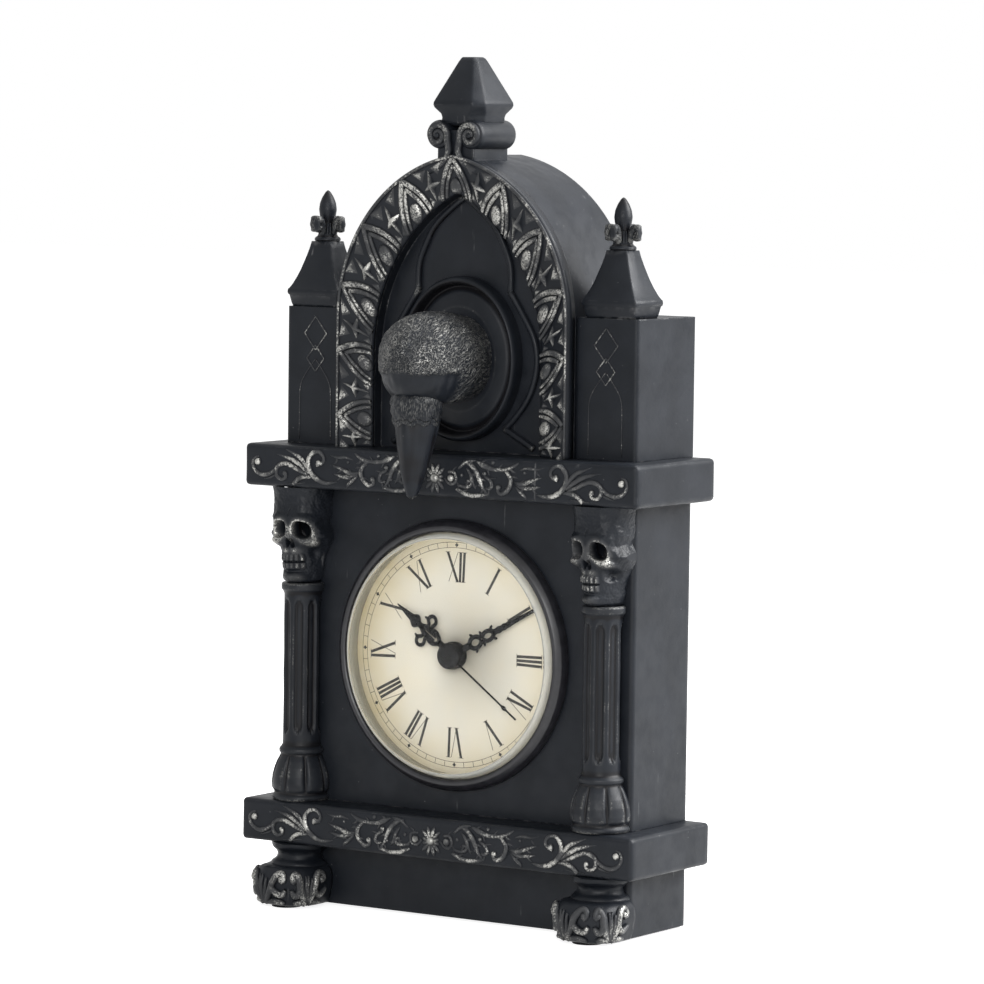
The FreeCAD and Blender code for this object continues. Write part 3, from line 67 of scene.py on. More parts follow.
class Finish:
    """A material in the making."""

    def __init__(self, name):
        self.material = bpy.data.materials.new(name)
        self.material.use_nodes = True
        self.tree = self.material.node_tree
        self.shader = self.tree.nodes["Principled BSDF"]
        self.where = self.tree.nodes.new("ShaderNodeTexCoord").outputs["Object"]
        self.normal = None

    def feed(self, node, inputs):
        for key, value in inputs.items():
            if isinstance(value, bpy.types.NodeSocket):
                self.tree.links.new(value, node.inputs[key])
            else:
                node.inputs[key].default_value = value

    def add(self, kind, inputs, **settings):
        node = self.tree.nodes.new("ShaderNode" + kind)
        for key, value in settings.items():
            setattr(node, key, value)
        self.feed(node, inputs)
        return node

    def noise(self, grain, detail=3.0, stretch=None, turn=(0, 0, 0)):
        """Cloudy values; grain is the size of a spot in millimetres."""
        where = self.where
        if stretch:
            inputs = {"Vector": where, "Scale": stretch, "Rotation": turn}
            where = self.add("Mapping", inputs).outputs[0]
        node = self.add("TexNoise", {"Vector": where, "Scale": 1 / (grain * MM), "Detail": detail})
        return node.outputs["Fac"]

    def ramp(self, value, low, high, start=0.0, end=1.0):
        inputs = {"Value": value, "From Min": low, "From Max": high, "To Min": start, "To Max": end}
        return self.add("MapRange", inputs, interpolation_type="SMOOTHSTEP").outputs[0]

    def maths(self, operation, first, second=0.0):
        return self.add("Math", {0: first, 1: second}, operation=operation, use_clamp=True).outputs[0]

    def blend(self, share, first, second):
        inputs = {0: share, 6: colour(first), 7: colour(second)}
        return self.add("Mix", inputs, data_type="RGBA").outputs[2]

    def emboss(self, height, depth, strength=1.0):
        """Adds relief of the given depth in millimetres."""
        inputs = {"Height": height, "Distance": depth * MM, "Strength": strength}
        if self.normal:
            inputs["Normal"] = self.normal
        self.normal = self.add("Bump", inputs).outputs[0]

    def done(self, **inputs):
        if self.normal:
            inputs["Normal"] = self.normal
        self.feed(self.shader, {key.replace("_", " "): value for key, value in inputs.items()})
        return self.material


def colour(value):
    return value if isinstance(value, bpy.types.NodeSocket) else (*value, 1)


RESIN_DARK = (0.0052, 0.0065, 0.0090)
RESIN_PALE = (0.0086, 0.0102, 0.0134)
SCUFF = (0.11, 0.11, 0.112)
SILVER = (0.40, 0.395, 0.37)
# grey for half-proud carving: partly the brush's thin dusting, partly painted light
RUBBED_AND_LIT_GREY = (0.042, 0.043, 0.045)
# near black, painted into hollows as shade
HOLLOW_SHADE = (0.004, 0.004, 0.005)
SHEEN = 0.16


def resin_finish(name, silver=0.0):
    """Bluish-black painted resin, silver-grey where the brush has touched raised carving, with painted
    shade near black in its hollows and a grey on half-proud parts that is partly the brush's dusting,
    partly painted light.
    """
    f = Finish(name)
    cloud = f.noise(16, 4)
    grain = f.noise(0.7, 3)
    base = f.blend(f.ramp(cloud, 0.35, 0.65), RESIN_DARK, RESIN_PALE)
    rough = f.ramp(f.noise(5, 3), 0.3, 0.7, 0.36, 0.50)
    # pale hairline scuffs and specks
    lines = f.noise(2.2, 2, stretch=(1, 1, 0.07), turn=(0.4, 0.9, 0.2))
    scuffs = f.maths("MULTIPLY", f.ramp(lines, 0.70, 0.76), f.ramp(f.noise(11, 2), 0.52, 0.66))
    specks = f.add("TexVoronoi", {"Vector": f.where, "Scale": 1 / (2.6 * MM)}).outputs["Distance"]
    specks = f.maths("MULTIPLY", f.ramp(specks, 0.10, 0.05), f.ramp(f.noise(9, 2), 0.58, 0.66))
    marks = f.maths("MAXIMUM", f.maths("MULTIPLY", scuffs, 0.55), f.maths("MULTIPLY", specks, 0.6))
    base = f.blend(marks, base, SCUFF)
    if silver:
        raised = f.add("Attribute", {}, attribute_name="raised").outputs["Fac"]
        broken = f.ramp(f.noise(0.55, 4), 0.25, 0.75, 0.45, 1.25)
        patchy = f.ramp(f.noise(7, 2), 0.3, 0.7, 0.55, 1.15)
        touched = f.maths("MULTIPLY", f.maths("MULTIPLY", raised, broken), patchy)
        touched = f.maths("MULTIPLY", f.ramp(touched, 0.55, 1.10), silver)
        # half-proud carving turns grey, partly the brush's dusting and partly painted light that grows
        # with proudness
        half_way = f.maths("MULTIPLY", f.ramp(f.maths("MULTIPLY", raised, patchy), 0.0, 0.75), silver)
        # painted shade: where raised is below zero the colour darkens towards near black
        hollow = f.ramp(f.maths("MULTIPLY", raised, -1.0), 0.05, 0.5)
        base = f.blend(hollow, base, HOLLOW_SHADE)
        base = f.blend(half_way, base, RUBBED_AND_LIT_GREY)
        base = f.blend(touched, base, SILVER)
        f.feed(f.shader, {"Metallic": f.maths("MULTIPLY", touched, 0.75)})
    else:
        # soft edges, with the paint rubbed thin along them
        bevel = f.add("Bevel", {"Radius": 0.7 * MM}, samples=4).outputs[0]
        flat = f.add("NewGeometry", {}).outputs["True Normal"]
        turned = f.add("VectorMath", {0: bevel, 1: flat}, operation="DOT_PRODUCT").outputs["Value"]
        edge = f.maths("MULTIPLY", f.ramp(turned, 0.99, 0.88), f.ramp(f.noise(2.5, 5), 0.44, 0.60))
        edge = f.maths("MULTIPLY", edge, f.ramp(f.noise(14, 2), 0.42, 0.60, 0.15, 0.9))
        base = f.blend(edge, base, SCUFF)
        f.normal = bevel
    f.emboss(f.noise(9, 2), 0.10)
    f.emboss(grain, 0.018)
    return f.done(Base_Color=base, Roughness=rough, Specular_IOR_Level=SHEEN)


def plumage_finish():
    """Resin combed into fine short strokes where the attribute plumage says, silver on their tips."""
    f = Finish("combed_resin")
    comb = f.add("Attribute", {}, attribute_name="comb").outputs["Vector"]
    cover = f.add("Attribute", {}, attribute_name="plumage").outputs["Fac"]
    strokes = f.add("TexNoise", {"Vector": comb, "Scale": 1 / 0.34, "Detail": 2.0}).outputs["Fac"]
    tufts = f.add("TexNoise", {"Vector": comb, "Scale": 1 / 1.3, "Detail": 2.0}).outputs["Fac"]
    base = f.blend(f.ramp(f.noise(8, 3), 0.3, 0.7), RESIN_DARK, RESIN_PALE)
    lit = f.maths("MULTIPLY", f.ramp(strokes, 0.43, 0.68), f.ramp(tufts, 0.34, 0.62, 0.35, 1.0))
    patch = f.ramp(f.noise(9, 2), 0.30, 0.62, 0.35, 1.0)
    lit = f.maths("MULTIPLY", f.maths("MULTIPLY", lit, patch), cover)
    base = f.blend(f.maths("MULTIPLY", lit, 0.6), base, SILVER)
    f.feed(f.shader, {"Metallic": f.maths("MULTIPLY", lit, 0.5)})
    relief = f.maths("MULTIPLY", f.maths("MULTIPLY", f.ramp(strokes, 0.3, 0.7), 0.6), cover)
    f.emboss(relief, 0.35)
    f.emboss(f.maths("MULTIPLY", tufts, cover), 0.45)
    f.emboss(f.noise(0.6, 3), 0.02)
    rough = f.ramp(f.noise(5, 3), 0.3, 0.7, 0.34, 0.46)
    return f.done(Base_Color=base, Roughness=rough, Specular_IOR_Level=SHEEN)


def plain_finish(name, dark, pale, rough, spot=3.0, grain=0.5, depth=0.02, **more):
    """A moulded or painted surface with a little cloud in its colour and a fine grain."""
    f = Finish(name)
    base = f.blend(f.ramp(f.noise(spot, 3), 0.3, 0.7), dark, pale)
    gloss = f.ramp(f.noise(spot * 0.6, 2), 0.3, 0.7, rough * 0.85, rough * 1.15)
    f.emboss(f.noise(grain, 3), depth)
    return f.done(Base_Color=base, Roughness=gloss, **more)


def dial_finish():
    """Aged ivory card, yellower towards its rim, and darker and yellower towards its left side."""
    f = Finish("ivory_card")
    low, high = span("dial")
    middle = (low + high) / 2
    centred = f.add("Mapping", {"Vector": f.where, "Location": tuple(-middle * MM)}).outputs[0]
    squeezed = f.add("VectorMath", {0: centred, 1: (1, 0, 1)}, operation="MULTIPLY").outputs[0]
    out = f.add("VectorMath", {0: squeezed}, operation="LENGTH").outputs["Value"]
    side = f.add("SeparateXYZ", {0: centred}).outputs["X"]
    # darker, yellower tint towards the rim and towards the left side
    rim_and_left_tint = f.maths("ADD", f.ramp(out, 0.024, 0.042, 0, 0.75), f.ramp(side, -0.005, -0.042, 0, 0.45))
    patch = f.ramp(f.noise(14, 3), 0.35, 0.7)
    base = f.blend(patch, (0.70, 0.65, 0.545), (0.675, 0.64, 0.56))
    rim_and_left_tint = f.maths("MULTIPLY", rim_and_left_tint, f.ramp(f.noise(8, 2), 0.2, 0.8, 0.5, 1))
    base = f.blend(rim_and_left_tint, base, (0.60, 0.505, 0.31))
    f.emboss(f.noise(0.4, 3), 0.01)
    return f.done(Base_Color=base, Roughness=0.6)


def lens_finish(name, tint, rough, clearness):
    """Moulded plastic. Shadow rays pass it, so the dial stays lit."""
    f = Finish(name)
    f.emboss(f.noise(14, 1), 0.01)
    glass = f.done(Base_Color=(*tint, 1), Roughness=rough, IOR=1.13, Transmission_Weight=clearness)
    path = f.add("LightPath", {})
    straight = f.maths("MAXIMUM", path.outputs["Is Shadow Ray"], path.outputs["Is Diffuse Ray"])
    clear = f.add("BsdfTransparent", {"Color": (0.97, 0.97, 0.96, 1)})
    output = f.tree.nodes["Material Output"]
    mixed = f.add("MixShader", {0: straight, 1: f.shader.outputs[0], 2: clear.outputs[0]})
    f.feed(output, {"Surface": mixed.outputs[0]})
    return glass


def felt_finish():
    f = Finish("black_felt")
    base = f.blend(f.ramp(f.noise(0.4, 4), 0.3, 0.7), (0.010, 0.010, 0.011), (0.028, 0.028, 0.030))
    f.emboss(f.noise(0.25, 4), 0.12)
    return f.done(Base_Color=base, Roughness=0.95, Specular_IOR_Level=0.1)


def winding_finish():
    f = Finish("enamelled_wire")
    inputs = {"Vector": f.where, "Scale": 1 / (0.9 * MM), "Distortion": 0.4}
    turns = f.add("TexWave", inputs, bands_direction="Z").outputs["Fac"]
    base = f.blend(turns, (0.34, 0.12, 0.05), (0.62, 0.27, 0.13))
    f.emboss(turns, 0.06)
    return f.done(Base_Color=base, Roughness=0.32, Metallic=0.8)


def brushed_metal(name, tone, rough):
    f = Finish(name)
    hairs = f.noise(0.5, 3, stretch=(1, 1, 0.05))
    base = f.blend(f.ramp(hairs, 0.3, 0.7), tuple(c * 0.8 for c in tone), tone)
    f.emboss(hairs, 0.01)
    return f.done(Base_Color=base, Roughness=rough, Metallic=1.0)


cast_resin = resin_finish("painted_resin")
brushed_relief = resin_finish("brushed_relief", silver=1.0)
rubbed_resin = resin_finish("rubbed_resin", silver=0.6)
smooth_resin = resin_finish("smooth_resin", silver=0.22)
feathered_resin = plumage_finish()
bezel_black = plain_finish("bezel_paint", (0.008, 0.008, 0.010), (0.014, 0.014, 0.017), 0.34,
                           Specular_IOR_Level=0.4)
hand_black = plain_finish("hand_paint", (0.004, 0.004, 0.004), (0.010, 0.010, 0.011), 0.26,
                          Specular_IOR_Level=0.22)
ink = plain_finish("dial_ink", (0.022, 0.020, 0.018), (0.045, 0.042, 0.038), 0.6, grain=0.2)
fine_ink = plain_finish("dial_fine_ink", (0.10, 0.09, 0.07), (0.16, 0.14, 0.11), 0.6, grain=0.2)
FINISHES = {
    "cast_resin": cast_resin,
    "brushed_relief": rubbed_resin,
    "feathered_resin": feathered_resin,
    "felt": felt_finish(),
    "bezel_black": bezel_black,
    "clear_lens": lens_finish("clear_plastic", (0.97, 0.975, 0.965), 0.02, 1.0),
    "ivory_dial": dial_finish(),
    "rubber_washer": plain_finish("rubber", (0.012, 0.012, 0.012), (0.03, 0.03, 0.03), 0.8, grain=0.3),
    "brass": brushed_metal("turned_brass", (0.62, 0.46, 0.20), 0.3),
    "hand_black": hand_black,
    "movement_plastic": plain_finish("movement_plastic", (0.012, 0.012, 0.013), (0.020, 0.020, 0.021),
                                     0.5, grain=0.25, depth=0.05),
    "white_plastic": plain_finish("acetal", (0.62, 0.62, 0.58), (0.74, 0.74, 0.70), 0.4),
    "board_green": plain_finish("solder_mask", (0.012, 0.085, 0.035), (0.03, 0.15, 0.06), 0.35,
                                spot=1.2),
    "copper_wire": winding_finish(),
    "stator_steel": brushed_metal("soft_iron", (0.48, 0.48, 0.49), 0.38),
    "spring_contact": brushed_metal("plated_spring", (0.74, 0.73, 0.70), 0.2),
    "battery_sleeve": plain_finish("battery_sleeve", (0.03, 0.035, 0.045), (0.045, 0.05, 0.06), 0.25,
                                   Metallic=0.6),
}


# Making shapes

def clamp(value, low, high):
    return min(max(value, low), high)


def smooth_step(value, low, high):
    share = clamp((value - low) / (high - low), 0, 1)
    return share * share * (3 - 2 * share)


def sided(side, name):
    """The node's name: side is -1 on the left and 1 on the right."""
    return ("left_" if side < 0 else "right_") + name


def new_piece(name, bm, finish, body="root", stands_for=(), wear=None, relief=None, flat=False):
    """Scales a finished bmesh to metres and makes it a piece that rides its body. wear is how far
    the hollows are looked for, in smoothing passes, and how many millimetres count as raised.
    relief is a function that gives it for a vertex instead."""
    bmesh.ops.remove_doubles(bm, verts=bm.verts, dist=0.002)
    if relief:
        layer = bm.verts.layers.float.new("raised")
        for vert in bm.verts:
            vert[layer] = relief(vert)
    mesh = bpy.data.meshes.new(name)
    bm.to_mesh(mesh)
    bm.free()
    for face in mesh.polygons:
        face.use_smooth = not flat
    if wear:
        mark_wear(mesh, *wear)
    mesh.transform(Matrix.Scale(MM, 4))
    mesh.materials.append(finish)
    made = bpy.data.objects.new(name, mesh)
    scene.collection.objects.link(made)
    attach(made, body)
    if stands_for:
        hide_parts(*stands_for)


def mark_wear(mesh, passes, height):
    """Stores how proud of its surroundings each vertex stands, -1 to 1, as the attribute raised."""
    count = len(mesh.vertices)
    places = np.empty(count * 3)
    mesh.vertices.foreach_get("co", places)
    places = places.reshape(-1, 3)
    normals = np.empty(count * 3)
    mesh.vertex_normals.foreach_get("vector", normals)
    normals = normals.reshape(-1, 3)
    ends = np.empty(len(mesh.edges) * 2, int)
    mesh.edges.foreach_get("vertices", ends)
    first, second = ends[0::2], ends[1::2]
    valence = np.maximum(np.bincount(ends, minlength=count), 1)
    soft = places.copy()
    for _ in range(passes):
        total = np.empty_like(soft)
        for axis in range(3):
            total[:, axis] = (np.bincount(first, soft[second, axis], count)
                              + np.bincount(second, soft[first, axis], count))
        soft = total / valence[:, None]
    proud = ((places - soft) * normals).sum(1) / height
    # after this the hollows fall below zero, and the silvered finishes paint them with shade
    proud -= np.median(proud)
    attribute = mesh.attributes.new("raised", "FLOAT", "POINT")
    attribute.data.foreach_set("value", np.clip(proud, -1, 1))


def face_outward(bm):
    bmesh.ops.recalc_face_normals(bm, faces=bm.faces)


def turned(profile, steps=96, soften=0.0, segments=3):
    """A turned shape about Z from (radius, height) pairs; soften rounds the profile's corners."""
    bm = bmesh.new()
    verts = [bm.verts.new((radius, 0, height)) for radius, height in profile]
    for first, second in zip(verts, verts[1:]):
        bm.edges.new((first, second))
    if soften:
        bmesh.ops.bevel(bm, geom=verts[1:-1], offset=soften, segments=segments, profile=0.5,
                        affect="VERTICES", material=-1)
    bmesh.ops.spin(bm, geom=bm.verts[:] + bm.edges[:], cent=(0, 0, 0), axis=(0, 0, 1),
                   angle=math.tau, steps=steps, use_merge=True)
    bmesh.ops.remove_doubles(bm, verts=bm.verts, dist=0.001)
    face_outward(bm)
    return bm


def facing_front(bm, x, z):
    """Turns a shape made about Z to lie about an axis along Y through (x, z), heights running back."""
    turn = Matrix.Rotation(math.radians(-90), 4, "X")
    bmesh.ops.transform(bm, matrix=Matrix.Translation((x, 0, z)) @ turn, verts=bm.verts)


def strand(stroke, place):
    """A line of strands from a drawn stroke, whose points end in a radius. place brings the rest
    of a point into space."""
    return [(place(*point[:-1]), point[-1]) for point in stroke]


def add_strands(bm, lines, rings=5, sides=2):
    """Adds round strands that taper as their points say; each line is a list of (place, radius)."""
    curve = bpy.data.curves.new("strands", "CURVE")
    curve.dimensions = "3D"
    curve.bevel_depth = 1
    curve.bevel_resolution = sides
    curve.resolution_u = rings
    curve.use_fill_caps = True
    for line in lines:
        spline = curve.splines.new("NURBS")
        spline.points.add(len(line) - 1)
        for spot, (where, radius) in zip(spline.points, line):
            spot.co = (*where, 1)
            spot.radius = radius
        spline.order_u = 3
        spline.use_endpoint_u = True
    holder = bpy.data.objects.new("strands", curve)
    mesh = bpy.data.meshes.new_from_object(holder)
    bm.from_mesh(mesh)
    bpy.data.objects.remove(holder)
    bpy.data.curves.remove(curve)
    bpy.data.meshes.remove(mesh)


# raised below zero is painted as shade by the silvered finishes; this is its floor
DEEPEST = -0.3  # the least value of raised on carving


def carve(bm, body, height):
    """Marks how far the carving in bm stands off the body that it lies on, and joins them."""
    tree = BVHTree.FromBMesh(body)
    layer = bm.verts.layers.float.new("raised")
    for vert in bm.verts:
        place, normal = tree.find_nearest(vert.co)[:2]
        vert[layer] = clamp((vert.co - place).dot(normal) / height, DEEPEST, 1)
    join(bm, body)


def close_ends(bm):
    """Fills the open edges, so that the piece is solid."""
    bmesh.ops.holes_fill(bm, edges=[edge for edge in bm.edges if edge.is_boundary])
    face_outward(bm)


def cut_behind(bm):
    """Takes off what lies behind the front of the case."""
    bmesh.ops.bisect_plane(bm, geom=bm.verts[:] + bm.edges[:] + bm.faces[:], plane_co=(0, 0, 0),
                           plane_no=(0, 1, 0), clear_outer=True)


def hold_inside(bm, low, high):
    """Keeps every vertex between two corners."""
    for vert in bm.verts:
        vert.co = [clamp(vert.co[axis], low[axis], high[axis]) for axis in range(3)]


def lofted(rings, sides, point):
    """A shape through rings of points, closed at both ends. point takes an angle and the values
    of a ring."""
    bm = bmesh.new()
    loops = []
    for ring in rings:
        loop = bmesh.ops.create_circle(bm, segments=sides, radius=1)["verts"]
        for vert in loop:
            vert.co = point(math.atan2(vert.co.y, vert.co.x), *ring)
        loops.append(loop)
    bmesh.ops.bridge_loops(bm, edges=bm.edges[:])
    for loop in (loops[0], loops[-1]):
        bmesh.ops.contextual_create(bm, geom=loop)
    return bm


def add_ball(bm, where, radius, fine=2):
    """Adds a ball, or with three radii an egg."""
    radii = radius if isinstance(radius, tuple) else (radius,) * 3
    place = Matrix.Translation(where) @ Matrix.Diagonal((*radii, 1))
    return bmesh.ops.create_icosphere(bm, subdivisions=fine, radius=1, matrix=place)["verts"]


def add_block(bm, low, high, ease, segments):
    """Adds a box between two corners with eased edges."""
    low, high = Vector(low), Vector(high)
    middle, size = (low + high) / 2, high - low
    place = Matrix.Translation(middle) @ Matrix.Diagonal((*size, 1))
    verts = bmesh.ops.create_cube(bm, size=1, matrix=place)["verts"]
    edges = dict.fromkeys(edge for vert in verts for edge in vert.link_edges)
    bmesh.ops.bevel(bm, geom=list(edges), offset=ease, segments=segments, profile=0.5,
                    affect="EDGES", material=-1)


def join(bm, other):
    """Adds another bmesh, and frees it."""
    holder = bpy.data.meshes.new("part")
    other.to_mesh(holder)
    other.free()
    bm.from_mesh(holder)
    bpy.data.meshes.remove(holder)


def mirrored(lines):
    """The lines and their mirror images across x = 0."""
    return lines + [[((-x, y, z), radius) for (x, y, z), radius in line] for line in lines]


class Clay:
    """The vertices of a bmesh, moved a little at a time."""

    def __init__(self, bm):
        self.verts = list(bm.verts)
        self.places = np.array([vert.co[:] for vert in self.verts])

    def pull(self, centre, reach, move):
        """Drags what lies within reach of the centre, less and less towards its edge."""
        away = (self.places - np.array(centre)) / np.array(reach)
        grip = np.clip(1 - (away ** 2).sum(1), 0, 1) ** 2
        self.places += grip[:, None] * np.array(move)

    def both(self, centre, reach, move):
        """Pulls at a place and at its mirror image."""
        self.pull(centre, reach, move)
        self.pull((-centre[0], *centre[1:]), reach, (-move[0], *move[1:]))

    def done(self):
        for vert, place in zip(self.verts, self.places):
            vert.co = place


# Levels taken from the solids

ledge_low, ledge_high = span("upper_ledge")
step_low, step_high = span("lower_ledge")
deck = ledge_high.z
half_arch = span("arch_block")[1].x
dial_low, dial_high = span("dial")
dial_z = (dial_low.z + dial_high.z) / 2


# Arch moulding: lancets and stars between the niche and the rim

ARCH_RADIUS, ARCH_SPRING = 54.1, 44.0
NICHE_RADIUS, NICHE_SPRING = 58.8, 32.0
MOULDING_WIDTH = 12.2
INNER_RISE, RIM_RISE, RIM_WIDTH = 1.2, 4.6, 1.2
half_niche = half_arch - MOULDING_WIDTH
UNITS = 5.5  # lancets from the foot to the apex
BACK = -50  # flat work under this lies on the moulding's back


def arch_point(share, half, spring, radius):
    """A point on one side of a pointed arch, by share of its length from foot to apex."""
    centre = half - radius
    sweep = math.acos(-centre / radius)
    length = share * (spring + radius * sweep)
    if length < spring:
        return Vector((half, 0, deck + length))
    angle = (length - spring) / radius
    return Vector((centre + radius * math.cos(angle), 0, deck + spring + radius * math.sin(angle)))


def arch_length(half, spring, radius):
    return spring + radius * math.acos((radius - half) / radius)


band_length = (arch_length(half_arch, ARCH_SPRING, ARCH_RADIUS)
               + arch_length(half_niche, NICHE_SPRING, NICHE_RADIUS)) / 2
unit = band_length / UNITS


def to_band(vert):
    """Bends flat work to the arch: x runs along it, y from the niche out to the rim, z out of it."""
    along, across, rise = vert.co
    share = along / band_length
    side = 1
    if share > 1:
        share, side = 2 - share, -1
    inner = arch_point(share, half_niche, NICHE_SPRING, NICHE_RADIUS)
    outer = arch_point(share, half_arch, ARCH_SPRING, ARCH_RADIUS)
    place = inner.lerp(outer, across / MOULDING_WIDTH)
    slope = min(across / (MOULDING_WIDTH - RIM_WIDTH), 1)
    base = INNER_RISE + (RIM_RISE - INNER_RISE) * slope
    place.y = 0 if rise < BACK else -base - rise
    place.x *= side
    vert.co = place


SUNK = -0.1  # how far the carving's edges go into the band


def flat_star(bm, x, y, along, across, rise):
    """A four-pointed star with sharp ridges, rubbed bright along them, and painted shade in the notches
    between its points.
    """
    raised = bm.verts.layers.float["raised"]
    verts = bmesh.ops.create_circle(bm, cap_ends=True, cap_tris=True, segments=8, radius=1)["verts"]
    for vert in verts:
        angle = math.atan2(vert.co.y, vert.co.x)
        if vert.co.length < 0.1:
            vert.co = Vector((x, y, rise))
            vert[raised] = 1.8
        else:
            ridge = abs(math.cos(2 * angle)) > 0.7
            reach = 1 if ridge else 0.34
            # the notches get a raised below zero, so the finish paints shade in them
            vert[raised] = 1.5 if ridge else -0.5
            vert.co = (x + reach * along * math.cos(angle), y + reach * across * math.sin(angle), SUNK)


STRAND_LIFT = 0.25  # how far the ribs' middles stand off the band
LANCET_RIBS = (
    # (along, across, radius) of the right half of each rib, from the niche to the tip
    [(6.9, 0.1, 0.8), (6.5, 2.0, 0.85), (4.9, 5.2, 0.9), (2.7, 8.2, 0.9), (0.05, 11.0, 0.85)],
    [(4.8, 0.1, 0.65), (4.5, 1.6, 0.7), (3.2, 4.4, 0.75), (1.5, 7.0, 0.75), (0.05, 8.8, 0.6)],
)


def facet(bm, corners, rise):
    """A low pyramid on the given corners."""
    raised = bm.verts.layers.float["raised"]
    middle = bm.verts.new((sum(x for x, y in corners) / 3, sum(y for x, y in corners) / 3, rise))
    middle[raised] = 1.4
    edge = [bm.verts.new((x, y, SUNK)) for x, y in corners]
    for vert in edge:
        vert[raised] = 0.45
    for first, second in zip(edge, edge[1:] + edge[:1]):
        bm.faces.new((middle, first, second))


def arch_moulding():
    bm = bmesh.new()
    raised = bm.verts.layers.float.new("raised")
    bmesh.ops.create_grid(bm, x_segments=240, y_segments=12, size=1)
    for vert in bm.verts:
        across = (vert.co.y + 1) / 2 * MOULDING_WIDTH
        vert.co = Vector(((vert.co.x + 1) * band_length, across, 0))
    skirt = bmesh.ops.extrude_face_region(bm, geom=bm.faces[:])
    for item in skirt["geom"]:
        if isinstance(item, bmesh.types.BMVert):
            item.co.z = BACK * 2
    steps = 30
    lines = [[((step * band_length / steps, MOULDING_WIDTH - 0.5, STRAND_LIFT), 0.5)
              for step in range(2 * steps + 1)]]
    lancets = round(2 * UNITS)
    for number in range(lancets):
        middle = (number + 0.5) * unit
        for rib in LANCET_RIBS:
            for way in (-1, 1):
                lines.append(strand(rib, lambda x, y: (middle + way * x, y, STRAND_LIFT)))
    add_strands(bm, lines)
    for number in range(lancets):
        add_ball(bm, ((number + 0.5) * unit, 2.4, -0.2), (2.8, 2.7, 1.5), 3)
    for number in range(lancets + 1):
        middle = clamp(number * unit, 3.4, 2 * band_length - 3.4)
        flat_star(bm, middle, 5.6, 3.5, 4.6, 2.6)
        for way in (-1, 1):
            for rise, corners in ((1.5, ((0.7, 10.4), (3.2, 7.6), (6.6, 11.6))),
                                  (0.9, ((0.3, 1.4), (2.4, 0.3), (2.5, 3.6)))):
                facet(bm, [(middle + way * along, across) for along, across in corners], rise)
    for vert in bm.verts:
        # carving below the band's surface gets a raised below zero, painted as shade
        vert[raised] = vert[raised] or clamp((vert.co.z - SUNK) / 0.9, DEEPEST, 1)
        to_band(vert)
    face_outward(bm)
    new_piece("arch_moulding_carving", bm, brushed_relief,
              stands_for=["arch_moulding"])


# Niche: tracery bead and the oval collar behind the neck

TRACERY = [
    # (across, up) as shares of the niche: the foot, the round lobe and the ogee above it
    [(0.835, 0.025), (0.67, 0.06), (0.505, 0.095)],
    [(0.505, 0.095), (0.66, 0.155), (0.800, 0.235), (0.875, 0.335), (0.850, 0.440), (0.700, 0.535),
     (0.545, 0.622)],
    [(0.545, 0.622), (0.560, 0.70), (0.50, 0.775), (0.330, 0.90), (0.000, 0.985)],
]
COLLAR_RADIUS = 25.2
COLLAR_DISH = [
    # radius, and how far back it lies
    (0, 0.2), (16, 0.3), (20.3, 1.2), (21.6, 2.4), (22.3, 2.6), (22.9, -0.6), (24.0, -1.55),
    (25.0, -0.5), (COLLAR_RADIUS, 1.2),
]


def niche_carving():
    panel = span("niche_tracery")[1].y
    niche_height = arch_point(1, half_niche, NICHE_SPRING, NICHE_RADIUS).z - deck
    lines = [[((half_niche * x, panel - 0.7, deck + niche_height * z), 1.05) for x, z in shares]
             for shares in TRACERY]
    bm = bmesh.new()
    add_strands(bm, mirrored(lines), rings=8, sides=3)
    new_piece("niche_bead", bm, smooth_resin, stands_for=["niche_tracery"],
              wear=(8, 0.3))
    low, high = span("neck_collar")
    middle = (low + high) / 2
    wide, tall = (high.x - low.x) / 2, (high.z - low.z) / 2
    bm = turned(COLLAR_DISH + [(COLLAR_RADIUS, high.y)], soften=0.6)
    facing_front(bm, 0, middle.z)
    bmesh.ops.scale(bm, vec=(wide / COLLAR_RADIUS, 1, tall / COLLAR_RADIUS), verts=bm.verts,
                    space=Matrix.Translation((0, 0, -middle.z)))
    new_piece("collar", bm, smooth_resin, stands_for=["neck_collar"], wear=(10, 0.35))


# Raven's head

HEAD_MIDDLE = Vector((0, -17.2, 187.6))
HALF_WIDTH, FORWARD = 15.0, 18.6
CROWN, CHIN = 13.9, 17.0  # from the middle up and down
FULLNESS = 2 / 2.6  # 1 would leave the lower half round
NAPE, NECK_LENGTH = 1.2, 18.4
NECK_START = 0.45  # radians from straight back
FACE_LINE, THROAT = 182.4, 171.6
THROAT_FADE = 1.5
COMB = 16  # radius on which the strokes of the plumage are laid out
NECK_FOLD = [
    # radius and height of the ruffled edge round the beak
    (6.9, 165.0), (7.6, 166.0), (8.0, 167.4), (8.3, 169.2), (8.5, 171.4), (8.7, 173.4), (7.8, 175.0),
]
BEAK_RINGS = [
    # height, place of the middle, half width and half thickness
    (179.5, -23.4, 6.2, 6.6), (176.0, -23.0, 7.3, 7.4), (171.5, -22.8, 7.7, 7.4),
    (166.0, -23.1, 7.4, 7.0), (160.0, -23.7, 6.5, 6.2), (153.5, -24.4, 5.1, 5.0),
    (147.5, -25.1, 3.6, 3.6), (143.5, -25.5, 2.2, 2.3), (141.4, -25.8, 0.8, 0.9),
]


